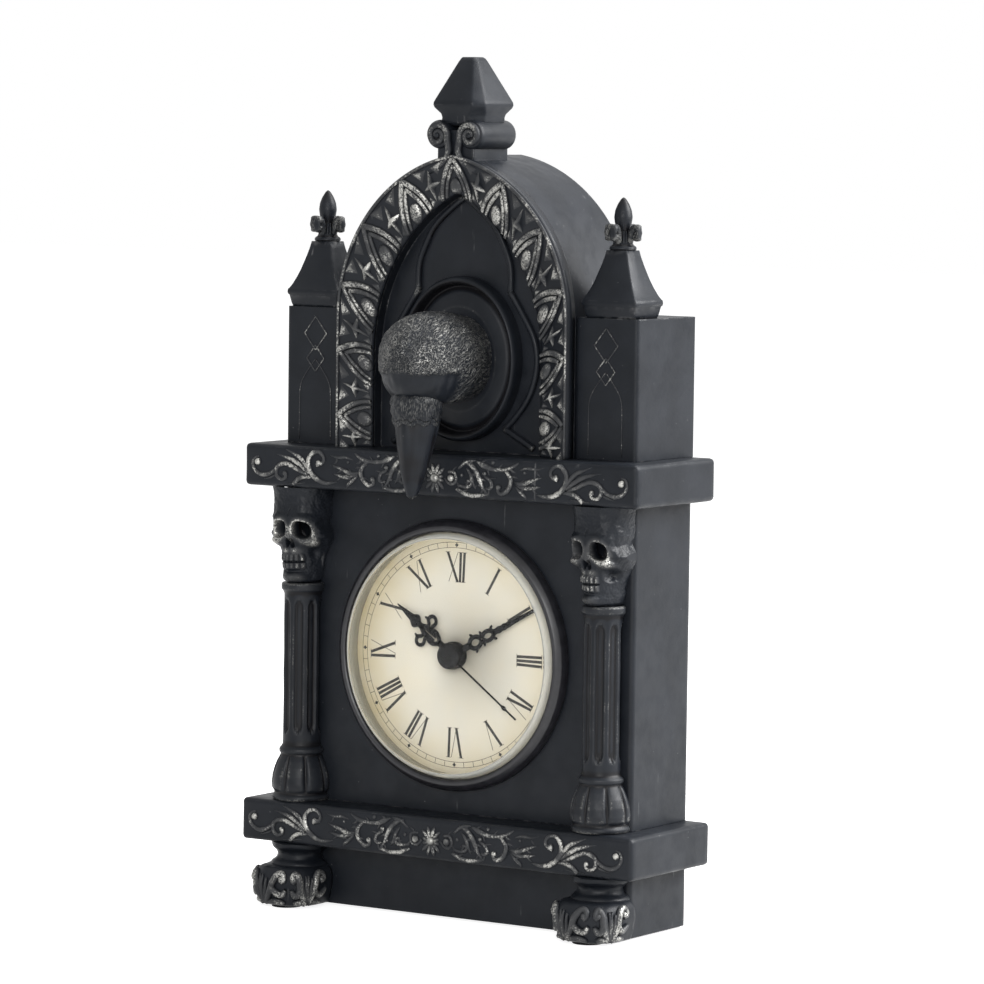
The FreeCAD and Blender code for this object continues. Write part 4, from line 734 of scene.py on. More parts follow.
def head_point(out):
    """Shapes a unit sphere into the head: full below, with a straight neck behind."""
    across, up = out.x, out.z
    if out.y > 0:
        polar = math.acos(min(out.y, 1))
        size = math.hypot(across, up) or 1
        across, up = across / size, up / size
    round_x = math.hypot(across, min(out.y, 0)) or 1
    fuller = round_x ** FULLNESS / round_x if up < 0 else 1
    height = CROWN * up if up > 0 else -CHIN * abs(up) ** FULLNESS
    if out.y <= 0:
        return Vector((HALF_WIDTH * across * fuller, HEAD_MIDDLE.y + FORWARD * out.y * fuller,
                       HEAD_MIDDLE.z + height))
    back = NAPE - NECK_LENGTH * max(polar - NECK_START, 0) / (math.pi / 2 - NECK_START)
    share = (NAPE - back) / NECK_LENGTH
    size = (0.86 + 0.14 * smooth_step(share, -0.2, 1)) * min(polar / NECK_START, 1)
    return Vector((HALF_WIDTH * across * fuller * size, back, HEAD_MIDDLE.z + height * size))


def raven_head():
    back = span("raven_head")[1].y
    bm = bmesh.new()
    bmesh.ops.create_icosphere(bm, subdivisions=6, radius=1)
    for vert in bm.verts:
        vert.co = head_point(vert.co.normalized())
    comb = bm.verts.layers.float_vector.new("comb")
    plumage = bm.verts.layers.float.new("plumage")
    pole = Vector((0, -0.86, -0.51)).normalized()
    across = Vector((1, 0, 0))
    upward = pole.cross(across)
    for vert in bm.verts:
        out = (vert.co - HEAD_MIDDLE).normalized()
        angle = math.atan2(out.dot(across), out.dot(upward))
        polar = math.acos(clamp(out.dot(pole), -1, 1))
        wander = angle + 0.10 * noise.noise(out * 4)
        ring = math.sin(polar) * COMB
        vert[comb] = (math.cos(wander) * ring, math.sin(wander) * ring, polar * COMB * 0.22)
    clay = Clay(bm)
    clay.pull((0, -8, 199), (16, 16, 10), (0, 0.5, 0.4))
    clay.both((9, -34, 192), (8, 8, 9), (-0.6, 0.8, 0))
    clay.done()
    for vert in bm.verts:
        under = THROAT + THROAT_FADE - vert.co.z
        if under > 0:
            vert.co.z = THROAT + THROAT_FADE * math.exp(-under / THROAT_FADE)
        forward = smooth_step(-vert.co.y, 15, 21)
        drop = FACE_LINE - vert.co.z + noise.noise(vert.co * 0.25) * 0.8
        vert[plumage] = 1 - smooth_step(drop, -0.3, 0.5) * forward
        face = smooth_step(drop, -0.6, 1.6) * forward
        inward = (vert.co - HEAD_MIDDLE)
        inward.z = 0
        wrinkle = noise.noise(Vector((vert.co.x * 0.4, vert.co.y * 0.4, vert.co.z * 0.1))) * 0.35
        vert.co -= inward.normalized() * (0.5 + wrinkle) * face
        combed = Vector(vert[comb])
        ruffle = noise.noise(combed * 0.9) * 0.34 + noise.noise(combed * 2.0) * 0.16
        vert.co += (vert.co - HEAD_MIDDLE).normalized() * ruffle * vert[plumage]
        vert.co.y = min(vert.co.y, back)
    fold = turned(NECK_FOLD, 96, 0.8, 3)
    bmesh.ops.scale(fold, vec=(1, 0.98, 1), verts=fold.verts)
    for vert in fold.verts:
        angle = math.atan2(vert.co.y, vert.co.x)
        ragged = noise.noise(Vector((math.cos(angle) * 3, math.sin(angle) * 3, 0)))
        vert.co.z += ragged * 1.8 * smooth_step(169.5 - vert.co.z, 0, 3)
        vert.co += noise.noise_vector(vert.co * 0.45) * 0.55
    bmesh.ops.translate(fold, vec=(0, -23.7, 0), verts=fold.verts)
    join(bm, fold)
    for vert in bm.verts:
        if vert[comb] == Vector((0, 0, 0)):
            vert[comb] = (vert.co.x, vert.co.y, vert.co.z * 0.25)
            vert[plumage] = 0.4
    face_outward(bm)
    new_piece("raven_feathers", bm, feathered_resin, stands_for=["raven_head"])

    def rim(angle, z, y, wide, deep):
        return wide * math.cos(angle), y + deep * math.sin(angle), z

    bm = lofted(BEAK_RINGS, 40, rim)
    bmesh.ops.triangulate(bm, faces=[face for face in bm.faces if len(face.verts) > 4])
    bmesh.ops.subdivide_edges(bm, edges=bm.edges[:], cuts=2, smooth=1.0, use_grid_fill=True)
    face_outward(bm)
    clay = Clay(bm)
    # a crease between the two halves, and the flattened ridge of the upper one
    for down in range(12):
        height = 173 - 2.2 * down
        clay.both((7.6 - 0.22 * down, -22.2 - 0.1 * down, height), (1.5, 1.5, 2.2), (-0.5, 0, 0))
    clay.pull((0, -30.6, 164), (3.0, 3.0, 16), (0, -0.6, 0))
    clay.done()
    for vert in bm.verts:
        vert.co += noise.noise_vector(vert.co * 0.16) * 0.25
    new_piece("raven_beak", bm, smooth_resin, wear=(14, 0.5))


# Ledges: foliage in low relief

FOLIAGE = [
    # (x, height from the ledge's middle line, radius) along each stroke of the right half
    [(5.0, 1.4, 0.4), (6.8, 1.8, 0.5), (8.3, 0.6, 0.5), (8.2, -1.6, 0.5), (6.6, -2.7, 0.5),
     (4.7, -2.2, 0.45), (3.9, -0.5, 0.4)],
    [(9.0, 2.6, 0.3), (11.0, 4.4, 0.6), (13.4, 5.7, 0.5), (16.0, 5.6, 0.2)],
    [(8.6, -2.6, 0.3), (12.0, -3.4, 0.6), (14.4, -2.4, 0.55), (13.8, -0.8, 0.45), (12.4, -1.2, 0.4)],
    [(19.2, 0.8, 0.4), (21.6, -0.2, 0.6), (22.6, -2.4, 0.55), (21.2, -3.7, 0.45), (19.8, -3.0, 0.4)],
    [(33.0, 3.4, 0.2), (36.0, 4.4, 0.5), (39.4, 3.6, 0.45), (42.4, 4.6, 0.15)],
    [(52.4, -5.0, 0.2), (56.0, -6.0, 0.45), (59.8, -5.6, 0.15)],
    [(8.4, -3.9, 0.5), (11.0, -5.2, 0.7), (15.0, -6.0, 0.75), (19.4, -5.4, 0.6), (21.0, -4.9, 0.3)],
    [(11.0, 5.4, 0.3), (13.4, 4.6, 0.7), (16.0, 2.6, 0.8), (17.6, -0.4, 0.8), (18.8, -3.6, 0.5),
     (21.0, -5.4, 0.2)],
    [(12.4, 3.0, 0.3), (14.2, 1.0, 0.7), (14.6, -1.6, 0.6), (16.0, -3.6, 0.2)],
    [(16.0, 5.4, 0.3), (18.0, 4.6, 0.9), (20.6, 3.4, 0.8), (25.0, 3.0, 0.6), (29.6, 3.6, 0.7),
     (32.4, 5.6, 0.25)],
    [(27.0, 3.2, 0.5), (30.0, 1.0, 0.8), (29.4, -2.4, 0.8), (27.0, -4.8, 0.7), (24.4, -4.4, 0.6),
     (24.4, -2.4, 0.5)],
    [(30.6, -0.6, 0.3), (33.6, -1.6, 0.8), (37.4, 0.2, 0.7), (41.6, 1.4, 0.2)],
    [(31.0, -1.2, 0.3), (34.4, -2.6, 0.8), (38.0, -2.2, 0.6), (41.0, -1.6, 0.2)],
    [(31.0, -1.6, 0.3), (33.2, -3.6, 0.7), (35.2, -5.0, 0.5), (35.6, -6.2, 0.15)],
    [(47.6, 1.2, 0.9), (45.2, 1.4, 0.6), (44.6, 3.6, 0.55), (46.6, 5.6, 0.65), (49.6, 5.2, 0.75),
     (51.4, 2.2, 0.85), (50.4, -1.6, 0.9), (46.8, -4.4, 0.85), (42.6, -5.0, 0.6), (39.4, -4.2, 0.2)],
    [(50.4, -1.4, 0.5), (52.4, 1.4, 0.8), (55.6, 4.0, 0.7), (60.4, 5.6, 0.15)],
    [(50.8, -2.0, 0.5), (53.8, 0.4, 0.85), (58.0, 2.8, 0.75), (64.4, 3.8, 0.15)],
    [(51.4, -2.6, 0.5), (55.4, -0.8, 0.8), (60.0, 1.2, 0.75), (63.8, 0.2, 0.7), (64.6, -2.8, 0.7),
     (62.4, -4.8, 0.65), (60.0, -3.8, 0.6), (60.6, -2.2, 0.7)],
    [(49.4, -3.2, 0.4), (53.0, -3.0, 0.8), (56.0, -4.4, 0.75), (57.2, -6.0, 0.7)],
    [(63.6, -0.6, 0.4), (66.2, -2.6, 0.75), (69.6, -3.6, 0.7), (73.0, -2.4, 0.6), (74.2, 0.4, 0.55),
     (73.2, 2.6, 0.45), (71.6, 2.8, 0.3)],
    [(64.6, -3.0, 0.3), (67.0, -4.4, 0.5), (69.4, -4.6, 0.15)],
]
DRAWN_HEIGHT = 14.1  # the ledge's height for which the strokes are drawn
STROKE = 1.2  # a strand's radius against the drawn one
LEAFY = 46  # strokes that start further out have no leaflets
BUDS = [
    # x, height and radius
    (6.2, -0.5, 1.35), (10.4, 0.6, 0.7), (17.6, -2.2, 0.7), (24.9, -2.6, 1.0), (46.9, 1.6, 1.2),
    (60.7, -2.4, 1.0), (71.9, 1.0, 1.3), (19.4, 1.6, 0.9), (22.6, 5.2, 0.7), (35.0, 2.6, 0.6),
]
ROSETTE_HEIGHT, PETALS = -0.8, 12


def leaflets(line):
    """Short curled leaves to either side of a stroke."""
    leaves = []
    for number in range(1, len(line) - 1):
        x, z, radius = line[number]
        before, after = line[number - 1], line[number + 1]
        ahead = Vector((after[0] - before[0], after[1] - before[1])).normalized()
        out = Vector((-ahead.y, ahead.x)) * (1 if number % 2 else -1)
        tip = Vector((x, z)) + out * 1.9 + ahead * 1.5
        bend = Vector((x, z)) + out * 1.4 + ahead * 0.3
        if abs(tip.y) < 6.2 and tip.x > 3:
            leaves.append([(x, z, radius * 0.6), (bend.x, bend.y, 0.42), (tip.x, tip.y, 0.15)])
    return leaves


CARVED_HEIGHT = 0.72  # from the ledge's front to where the brush has left most silver


def ledge_carving(name, low, high):
    middle = (low.z + high.z) / 2
    scale = (high.z - low.z) / DRAWN_HEIGHT
    bm = bmesh.new()
    flat = FOLIAGE + [leaf for line in FOLIAGE if line[0][0] < LEAFY for leaf in leaflets(line)]
    lines = [[((x, 0, z * scale), radius * STROKE) for x, z, radius in line] for line in flat]
    add_strands(bm, mirrored(lines), rings=4, sides=2)
    for x, z, radius in BUDS:
        for side in (-1, 1):
            add_ball(bm, (side * x, 0, z * scale), radius, 2)
    # rosette between the two middle spirals, its upright petals the longest
    add_ball(bm, (0, -0.4, ROSETTE_HEIGHT), 1.5, 3)
    for number in range(PETALS):
        angle = math.tau * (number + 0.5) / PETALS
        reach = 4.6 if abs(math.sin(angle)) > 0.5 else 3.2
        petal = add_ball(bm, (0, 0, 0), (0.75, 0.8, reach / 2), 2)
        spread = Matrix.Rotation(math.pi / 2 - angle, 4, "Y")
        place = Matrix.Translation((math.cos(angle) * reach * 0.62, 0,
                                    ROSETTE_HEIGHT + math.sin(angle) * reach * 0.62))
        bmesh.ops.transform(bm, matrix=place @ spread, verts=petal)
    chance = Vector((3, 1, 7))
    for vert in bm.verts:
        vert.co.y *= 0.95
        vert.co += noise.noise_vector(vert.co * 0.6 + chance) * 0.2
    bmesh.ops.translate(bm, vec=(0, low.y + 0.12, middle), verts=bm.verts)
    new_piece(name, bm, brushed_relief,
              relief=lambda vert: (low.y - vert.co.y + 0.12) / CARVED_HEIGHT)


def ledge(name, node):
    """The ledge itself, with soft cast edges that waver a little."""
    low, high = span(node)
    bm = bmesh.new()
    add_block(bm, low, high, 1.5, 3)
    cut = [edge for edge in bm.edges if edge.calc_length() > 8]
    bmesh.ops.subdivide_edges(bm, edges=cut, cuts=24, use_grid_fill=True)
    for vert in bm.verts:
        inward = noise.noise(vert.co * 0.09 + Vector((5, 0, low.z))) * 0.15
        vert.co.y = clamp(vert.co.y + inward, low.y, high.y)
        vert.co.z = clamp(vert.co.z + inward * 0.6, low.z, high.z)
    new_piece(name, bm, cast_resin, stands_for=[node])


# Towers: a scored lancet and diamonds

TOWER_DIAMONDS = ((37.0, 5.6), (28.6, 4.4))  # height above the deck and half height
TOWER_LANCET = [
    # (across, height above the deck, radius) from the foot of one side to the tip
    (6.4, 1.5, 0.22), (6.4, 14, 0.24), (6.2, 20, 0.24), (3.2, 24.6, 0.24), (0, 28.4, 0.2),
]


def tower_lines(side):
    node = sided(side, "tower")
    low, high = span(node)
    middle = (low.x + high.x) / 2
    lines = []
    for height, size in TOWER_DIAMONDS:
        z = deck + height
        wide = size * 0.8
        ring = [(middle, z + size), (middle + wide, z), (middle, z - size), (middle - wide, z)]
        for (x0, z0), (x1, z1) in zip(ring, ring[1:] + ring[:1]):
            half_way = ((x0 + x1) / 2, 0, (z0 + z1) / 2)
            lines.append([((x0, 0, z0), 0.3), (half_way, 0.34), ((x1, 0, z1), 0.3)])
    for way in (-1, 1):
        lines.append(strand(TOWER_LANCET, lambda along, up: (middle + way * along, 0, deck + up)))
    bm = bmesh.new()
    add_strands(bm, lines, rings=6, sides=1)
    new_piece(node + "_scoring", bm, rubbed_resin,
              relief=lambda vert: 0.12 - 3 * vert.co.y)


# Spires and fleurons

SPIRE_LEVELS = [
    # height, width and depth as shares of the whole: the cornice, then the hollow pyramid
    (0, 0.86, 0.84), (0.05, 0.90, 0.88), (0.17, 0.95, 0.94), (0.19, 0.99, 0.985), (0.22, 1, 1),
    (0.265, 0.99, 0.985), (0.285, 0.95, 0.945), (0.34, 0.875, 0.88), (0.45, 0.76, 0.785),
    (0.56, 0.665, 0.70), (0.68, 0.575, 0.63), (0.8, 0.49, 0.56), (0.9, 0.43, 0.50), (1, 0.38, 0.46),
]


def spire(side):
    node = sided(side, "spire")
    low, high = span(node)
    middle = (low + high) / 2
    half_x, half_y = (high.x - low.x) / 2, (high.y - low.y) / 2
    height = high.z - low.z

    def corner(angle, up, wide, deep):
        angle += math.radians(45)
        return (middle.x + half_x * wide * math.copysign(1, math.cos(angle)),
                middle.y + half_y * deep * math.copysign(1, math.sin(angle)), low.z + height * up)

    bm = lofted(SPIRE_LEVELS, 4, corner)
    face_outward(bm)
    corners = [edge for edge in bm.edges if edge.verts[0].co.xy != edge.verts[1].co.xy
               and abs(edge.verts[0].co.z - edge.verts[1].co.z) > 0.1]
    bmesh.ops.bevel(bm, geom=corners, offset=0.45, segments=2, profile=0.5, affect="EDGES", material=-1)
    new_piece(node + "_form", bm, cast_resin, stands_for=[node])


FLEURON_PROFILE = [
    # radius and height of the stem, its foot and the bud on top
    (0, 0), (4.2, 0), (4.5, 0.6), (4.2, 1.3), (3.4, 1.7), (3.2, 2.4), (2.3, 3.4), (1.8, 5.2),
    (2.0, 6.6), (2.7, 8.6), (3.0, 10.6), (2.7, 12.8), (1.9, 14.8), (0.9, 16.4), (0.25, 17.0),
    (0, 17.05),
]
FLEURON_HEIGHT = 17.2
# (out from the stem, height, radius) along each stroke
CURLED_LEAF = [
    (2.2, 1.8, 1.1), (2.8, 4.0, 1.25), (3.6, 6.8, 1.3), (5.3, 7.5, 1.4), (6.5, 6.1, 1.4),
    (6.1, 4.3, 1.35), (4.8, 3.8, 1.2), (4.3, 5.0, 1.0),
]
SMALL_LEAF = [(2.6, 1.8, 0.5), (2.9, 4.2, 0.55), (2.3, 6.2, 0.2)]
BUD_RIB = [(1.9, 6.4, 0.25), (2.95, 10.4, 0.42), (1.8, 14.8, 0.3)]
BUD_TIP = ((0.2, 0, 16.6), 0.15)


def fleuron(side):
    node = sided(side, "fleuron")
    low, high = span(node)
    x, y = (low.x + high.x) / 2, (low.y + high.y) / 2
    bm = turned(FLEURON_PROFILE, 24, 0.35, 2)
    bmesh.ops.scale(bm, vec=(1, 1, (high.z - low.z) / FLEURON_HEIGHT), verts=bm.verts)

    def upright(stroke, angle):
        """A stroke that climbs the stem on the side that the angle gives."""
        return strand(stroke, lambda out, up: (out * math.cos(angle), out * math.sin(angle), up))

    lines = []
    for quarter in range(0, 360, 90):
        lines.append(upright(CURLED_LEAF, math.radians(quarter)))
        for lean in (-9, 9):
            lines.append(upright(SMALL_LEAF, math.radians(quarter + 45 + lean)))
    for number in range(6):
        lines.append(upright(BUD_RIB, math.tau * number / 6) + [BUD_TIP])
    add_strands(bm, lines, rings=4, sides=1)
    bmesh.ops.translate(bm, vec=(x, y, low.z), verts=bm.verts)
    hold_inside(bm, low, high)
    new_piece(node + "_leaves", bm, smooth_resin, stands_for=[node], wear=(4, 0.35))


# Crown: volutes on a rolled block, and the crystal finial

ROLL_RADIUS, ROLL_HEIGHT = 4.8, 259.1
EYE_HEIGHT = ROLL_HEIGHT - 0.3  # of the volutes
SCROLL_STEM = [
    # (across, depth behind the front, height, radius)
    (9.4, 1.6, 246.2, 0.3), (5.6, 1.5, 248.2, 0.75), (2.9, 1.4, 250.8, 1.0), (1.5, 1.3, 254.0, 1.2),
]
SPIRAL_START = 338  # degrees
SPIRAL_TURNS, SPIRAL_STEPS = 1.62, 27
FINIAL_LEVELS = [
    # height, width and depth as shares of the whole: the collar, the widest girdle and the point
    (0, 0.72, 0.68), (0.04, 0.81, 0.77), (0.08, 0.83, 0.79), (0.12, 0.825, 0.785), (0.17, 0.86, 0.81),
    (0.26, 0.96, 0.90), (0.30, 0.99, 0.93), (0.34, 0.985, 0.92), (0.385, 0.94, 0.88),
    (0.94, 0.37, 0.32), (0.98, 0.32, 0.27), (1, 0.26, 0.21),
]
COLLAR_TOP = 0.17


def crown():
    low, high = span("crown_scrolls")
    radius = ROLL_RADIUS
    offset = (high.x - low.x) / 2 - radius
    front, back = low.y, high.y - 2.0
    bm = bmesh.new()
    lines = []
    for side in (-1, 1):
        line = strand(SCROLL_STEM, lambda x, depth, z: (side * x, front + depth, z))
        for number in range(SPIRAL_STEPS + 1):
            share = number / SPIRAL_STEPS
            angle = math.radians(SPIRAL_START) + share * SPIRAL_TURNS * math.tau
            reach = 0.75 + (radius - 1.5) * (1 - share)
            place = (side * (offset - reach * math.cos(angle)), front + 1.3,
                     EYE_HEIGHT + reach * math.sin(angle))
            line.append((place, 1.3 - 0.5 * share))
        lines.append(line)
    scrolls = bmesh.new()
    add_strands(scrolls, lines, rings=3, sides=2)
    for vert in scrolls.verts:
        vert.co.y = max(vert.co.y, front)
    new_piece("crown_scrollwork", scrolls, rubbed_resin, stands_for=["crown_scrolls"],
              relief=lambda vert: (front + 1.5 - vert.co.y) / 1.45)
    for side in (-1, 1):
        add_ball(bm, (side * offset, front + 1.1, EYE_HEIGHT), 1.0, 2)
        roll = turned([(0, front + 1.2), (radius - 1.0, front + 1.2), (radius - 0.25, front + 1.8),
                       (radius, front + 3.0), (radius, back - 1.6), (radius - 1.6, back), (0, back)],
                      40, 0.3, 2)
        facing_front(roll, side * offset, ROLL_HEIGHT)
        join(bm, roll)
    block = bmesh.new()
    for wider, depth, behind, top, ease, segments in (
            (1.0, 2.4, 0.3, ROLL_HEIGHT + 1.5, 0.8, 2), (3.4, 3.2, 1.0, low.z + 4.6, 1.2, 3)):
        half = offset + wider
        add_block(block, (-half, front + depth, low.z), (half, back - behind, top), ease, segments)
    new_piece("crown_block", block, cast_resin, stands_for=["crown_scrolls"])
    new_piece("crown_volutes", bm, smooth_resin, stands_for=["crown_scrolls"],
              wear=(8, 0.7))


def finial():
    low, high = span("crown_finial")
    middle = (low + high) / 2
    half_x, half_y = (high.x - low.x) / 2, (high.y - low.y) / 2
    height = high.z - low.z

    def corner(angle, up, wide, deep):
        """A square's corners, each cut off by a facet that is broader on the collar."""
        near = math.copysign(1, math.cos(angle)), math.copysign(1, math.sin(angle))
        cut = 0.30 if up > COLLAR_TOP else 0.42
        sideways = abs(math.cos(angle)) > abs(math.sin(angle))
        return (middle.x + half_x * wide * near[0] * (1 if sideways else 1 - cut),
                middle.y + half_y * deep * near[1] * (1 - cut if sideways else 1), low.z + height * up)

    bm = lofted(FINIAL_LEVELS, 8, corner)
    face_outward(bm)
    uprights = [edge for edge in bm.edges if abs(edge.verts[0].co.z - edge.verts[1].co.z) > 0.5]
    bmesh.ops.bevel(bm, geom=uprights, offset=0.6, segments=3, profile=0.5, affect="EDGES", material=-1)
    new_piece("finial_crystal", bm, cast_resin, stands_for=["crown_finial"])


# Columns with petal bulbs

COLUMN_MIDDLE = -2.8
SHAFT_RADIUS = 6.3
COLUMN_HEIGHT = 73.5
COLUMN_PROFILE = [
    # radius and height of the base, the bulb, the shaft and the collar under the skull
    (0, 0), (9.2, 0), (9.7, 0.7), (9.7, 1.5), (9.1, 2.2), (9.1, 2.9), (9.8, 3.8), (9.95, 5.6),
    (9.7, 8.4), (9.0, 11.0), (8.1, 13.2), (7.2, 14.9), (7.0, 15.6), (7.5, 16.2), (7.5, 17.2),
    (6.9, 17.9), (6.4, 18.6), (SHAFT_RADIUS, 20.0), *((SHAFT_RADIUS, z) for z in range(22, 67, 4)),
    (SHAFT_RADIUS, 69.4), (6.7, 70.4), (7.25, 71.0), (7.25, 72.6), (6.9, 73.2), (0, COLUMN_HEIGHT),
]
FLUTES, FLUTE_DEPTH, FLUTE_HALF_WIDTH = 8, 0.85, 0.36  # the width as a share of the fluting's spacing
FLUTE_FOOT, FLUTE_TOP, FLUTE_ROUND = 23.0, 67.5, 2.6
PETAL_FOOT, PETAL_LENGTH, PETAL_CREASE = 2.9, 12.5, 1.2


def column(side):
    node = sided(side, "column")
    low, high = span(node)
    x = (low.x + high.x) / 2
    scale = (high.z - low.z) / COLUMN_HEIGHT
    bm = turned([(radius, z * scale) for radius, z in COLUMN_PROFILE], 144, 0.25, 2)
    long_edges = [edge for edge in bm.edges if edge.calc_length() > 2.2]
    bmesh.ops.subdivide_edges(bm, edges=long_edges, cuts=3, use_grid_fill=True)
    for vert in bm.verts:
        radius = vert.co.xy.length
        if radius < 2:
            continue
        angle = math.atan2(vert.co.y, vert.co.x)
        z = vert.co.z / scale
        move = 0
        if 20 < z < 70:
            # long panels with rounded ends, sunk between raised fillets
            edge = abs((angle / math.tau * FLUTES) % 1 - 0.5)
            end = min(z - FLUTE_FOOT, FLUTE_TOP - z) / FLUTE_ROUND
            wide = FLUTE_HALF_WIDTH * math.sqrt(max(0.0, 1 - max(0.0, 1 - end) ** 2)) if end > 0 else 0
            move = -FLUTE_DEPTH * smooth_step(wide - edge, 0, 0.12)
        elif PETAL_FOOT < z < PETAL_FOOT + PETAL_LENGTH:
            petal = (angle / math.tau * FLUTES) % 1
            crease = min(petal, 1 - petal)
            fade = math.sin(math.pi * clamp((z - PETAL_FOOT) / PETAL_LENGTH, 0, 1)) ** 0.5
            move = -PETAL_CREASE * fade * max(0, 1 - crease / 0.22) ** 2
        wobble = noise.noise(Vector((math.cos(angle) * 2, math.sin(angle) * 2, z * 0.12))) * 0.12
        factor = (radius + move + wobble) / radius
        vert.co.x *= factor
        vert.co.y *= factor
    bmesh.ops.translate(bm, vec=(x, COLUMN_MIDDLE, low.z), verts=bm.verts)
    cut_behind(bm)
    bmesh.ops.holes_fill(bm, edges=[edge for edge in bm.edges if edge.is_boundary])
    new_piece(node + "_shaft", bm, smooth_resin, stands_for=[node], wear=(10, 0.25))


# Skulls

SKULL_LEVELS = [
    # height, half width, reach and squareness
    (0.0, 5.4, 9.8, 1.9), (0.8, 6.1, 11.4, 1.8), (2.4, 6.5, 12.0, 1.75), (3.9, 6.7, 11.6, 1.7),
    (6.0, 7.0, 12.1, 1.65), (8.4, 7.5, 12.3, 1.65), (10.4, 8.2, 12.1, 1.7), (12.4, 9.5, 12.0, 1.9),
    (14.2, 10.3, 12.3, 2.2), (17.5, 10.3, 12.6, 2.5), (20.5, 10.0, 12.8, 2.7), (23.0, 9.7, 12.6, 2.7),
    (26.5, 9.7, 12.1, 2.6), (29.5, 10.0, 12.1, 2.6), (32.0, 10.4, 12.5, 2.6),
]
SKULL_HEIGHT, SKULL_HALF_WIDTH = 32, 10.45
# Places on a skull are (distance from the middle of the face, height), and sizes go with them.
SOCKET, SOCKET_SIZE = (4.15, 17.9), (3.0, 3.05)
TOOTH = 1.35
# How proud each form stands, its place and its size
HEAD_FORMS = [
    (1.1, (4.2, 21.8), (5.0, 2.1)),  # brow
    (0.7, (0, 20.6), (2.2, 3.2)),  # between the brows
    (0.9, (0, 16.8), (1.5, 3.6)),  # bridge of the nose
    (0.9, (10.2, 15.9), (3.6, 1.7)),  # the arch that runs back from the cheekbone
    (-1.2, (10.0, 20.0), (2.6, 3.0)),  # temple
]
FACE_FORMS = [
    (1.5, (6.6, 13.7), (3.2, 2.3)),  # cheekbone
    (-2.0, (7.0, 9.9), (2.6, 2.9)),  # cheek
]
JAW_FORMS = [
    (0.9, (1.2, 1.9), (3.4, 2.0)),  # chin
    (-0.7, (0, 3.9), (4.5, 0.9)),  # below the lower teeth
]
# How much silver the brush has left, where and how widely
NOSE_SILVER = [(1.3, (0, 16.2), (2.0, 4.2))]
CHEEK_SILVER = [(1.5, (6.0, 13.9), (3.4, 2.6))]
JAW_SILVER = [(1.1, (1.8, 10.8), (2.8, 1.8)), (0.8, (1.2, 1.9), (3.4, 2.2))]


def dip(across, up, where, size, power=2.4, edge=0.35):
    """How far inside an oval opening a place is: 0 outside, 1 on its floor."""
    away = abs((across - where[0]) / size[0]) ** power + abs((up - where[1]) / size[1]) ** power
    return smooth_step(1 - away, 0, edge)


def bump(across, up, where, size):
    """A round swelling: 1 in the middle, 0 from its edge on."""
    away = ((across - where[0]) / size[0]) ** 2 + ((up - where[1]) / size[1]) ** 2
    return max(1 - away, 0) ** 2


def forms(table, across, up):
    """All the swellings of a table together."""
    return sum(height * bump(across, up, where, size) for height, where, size in table)


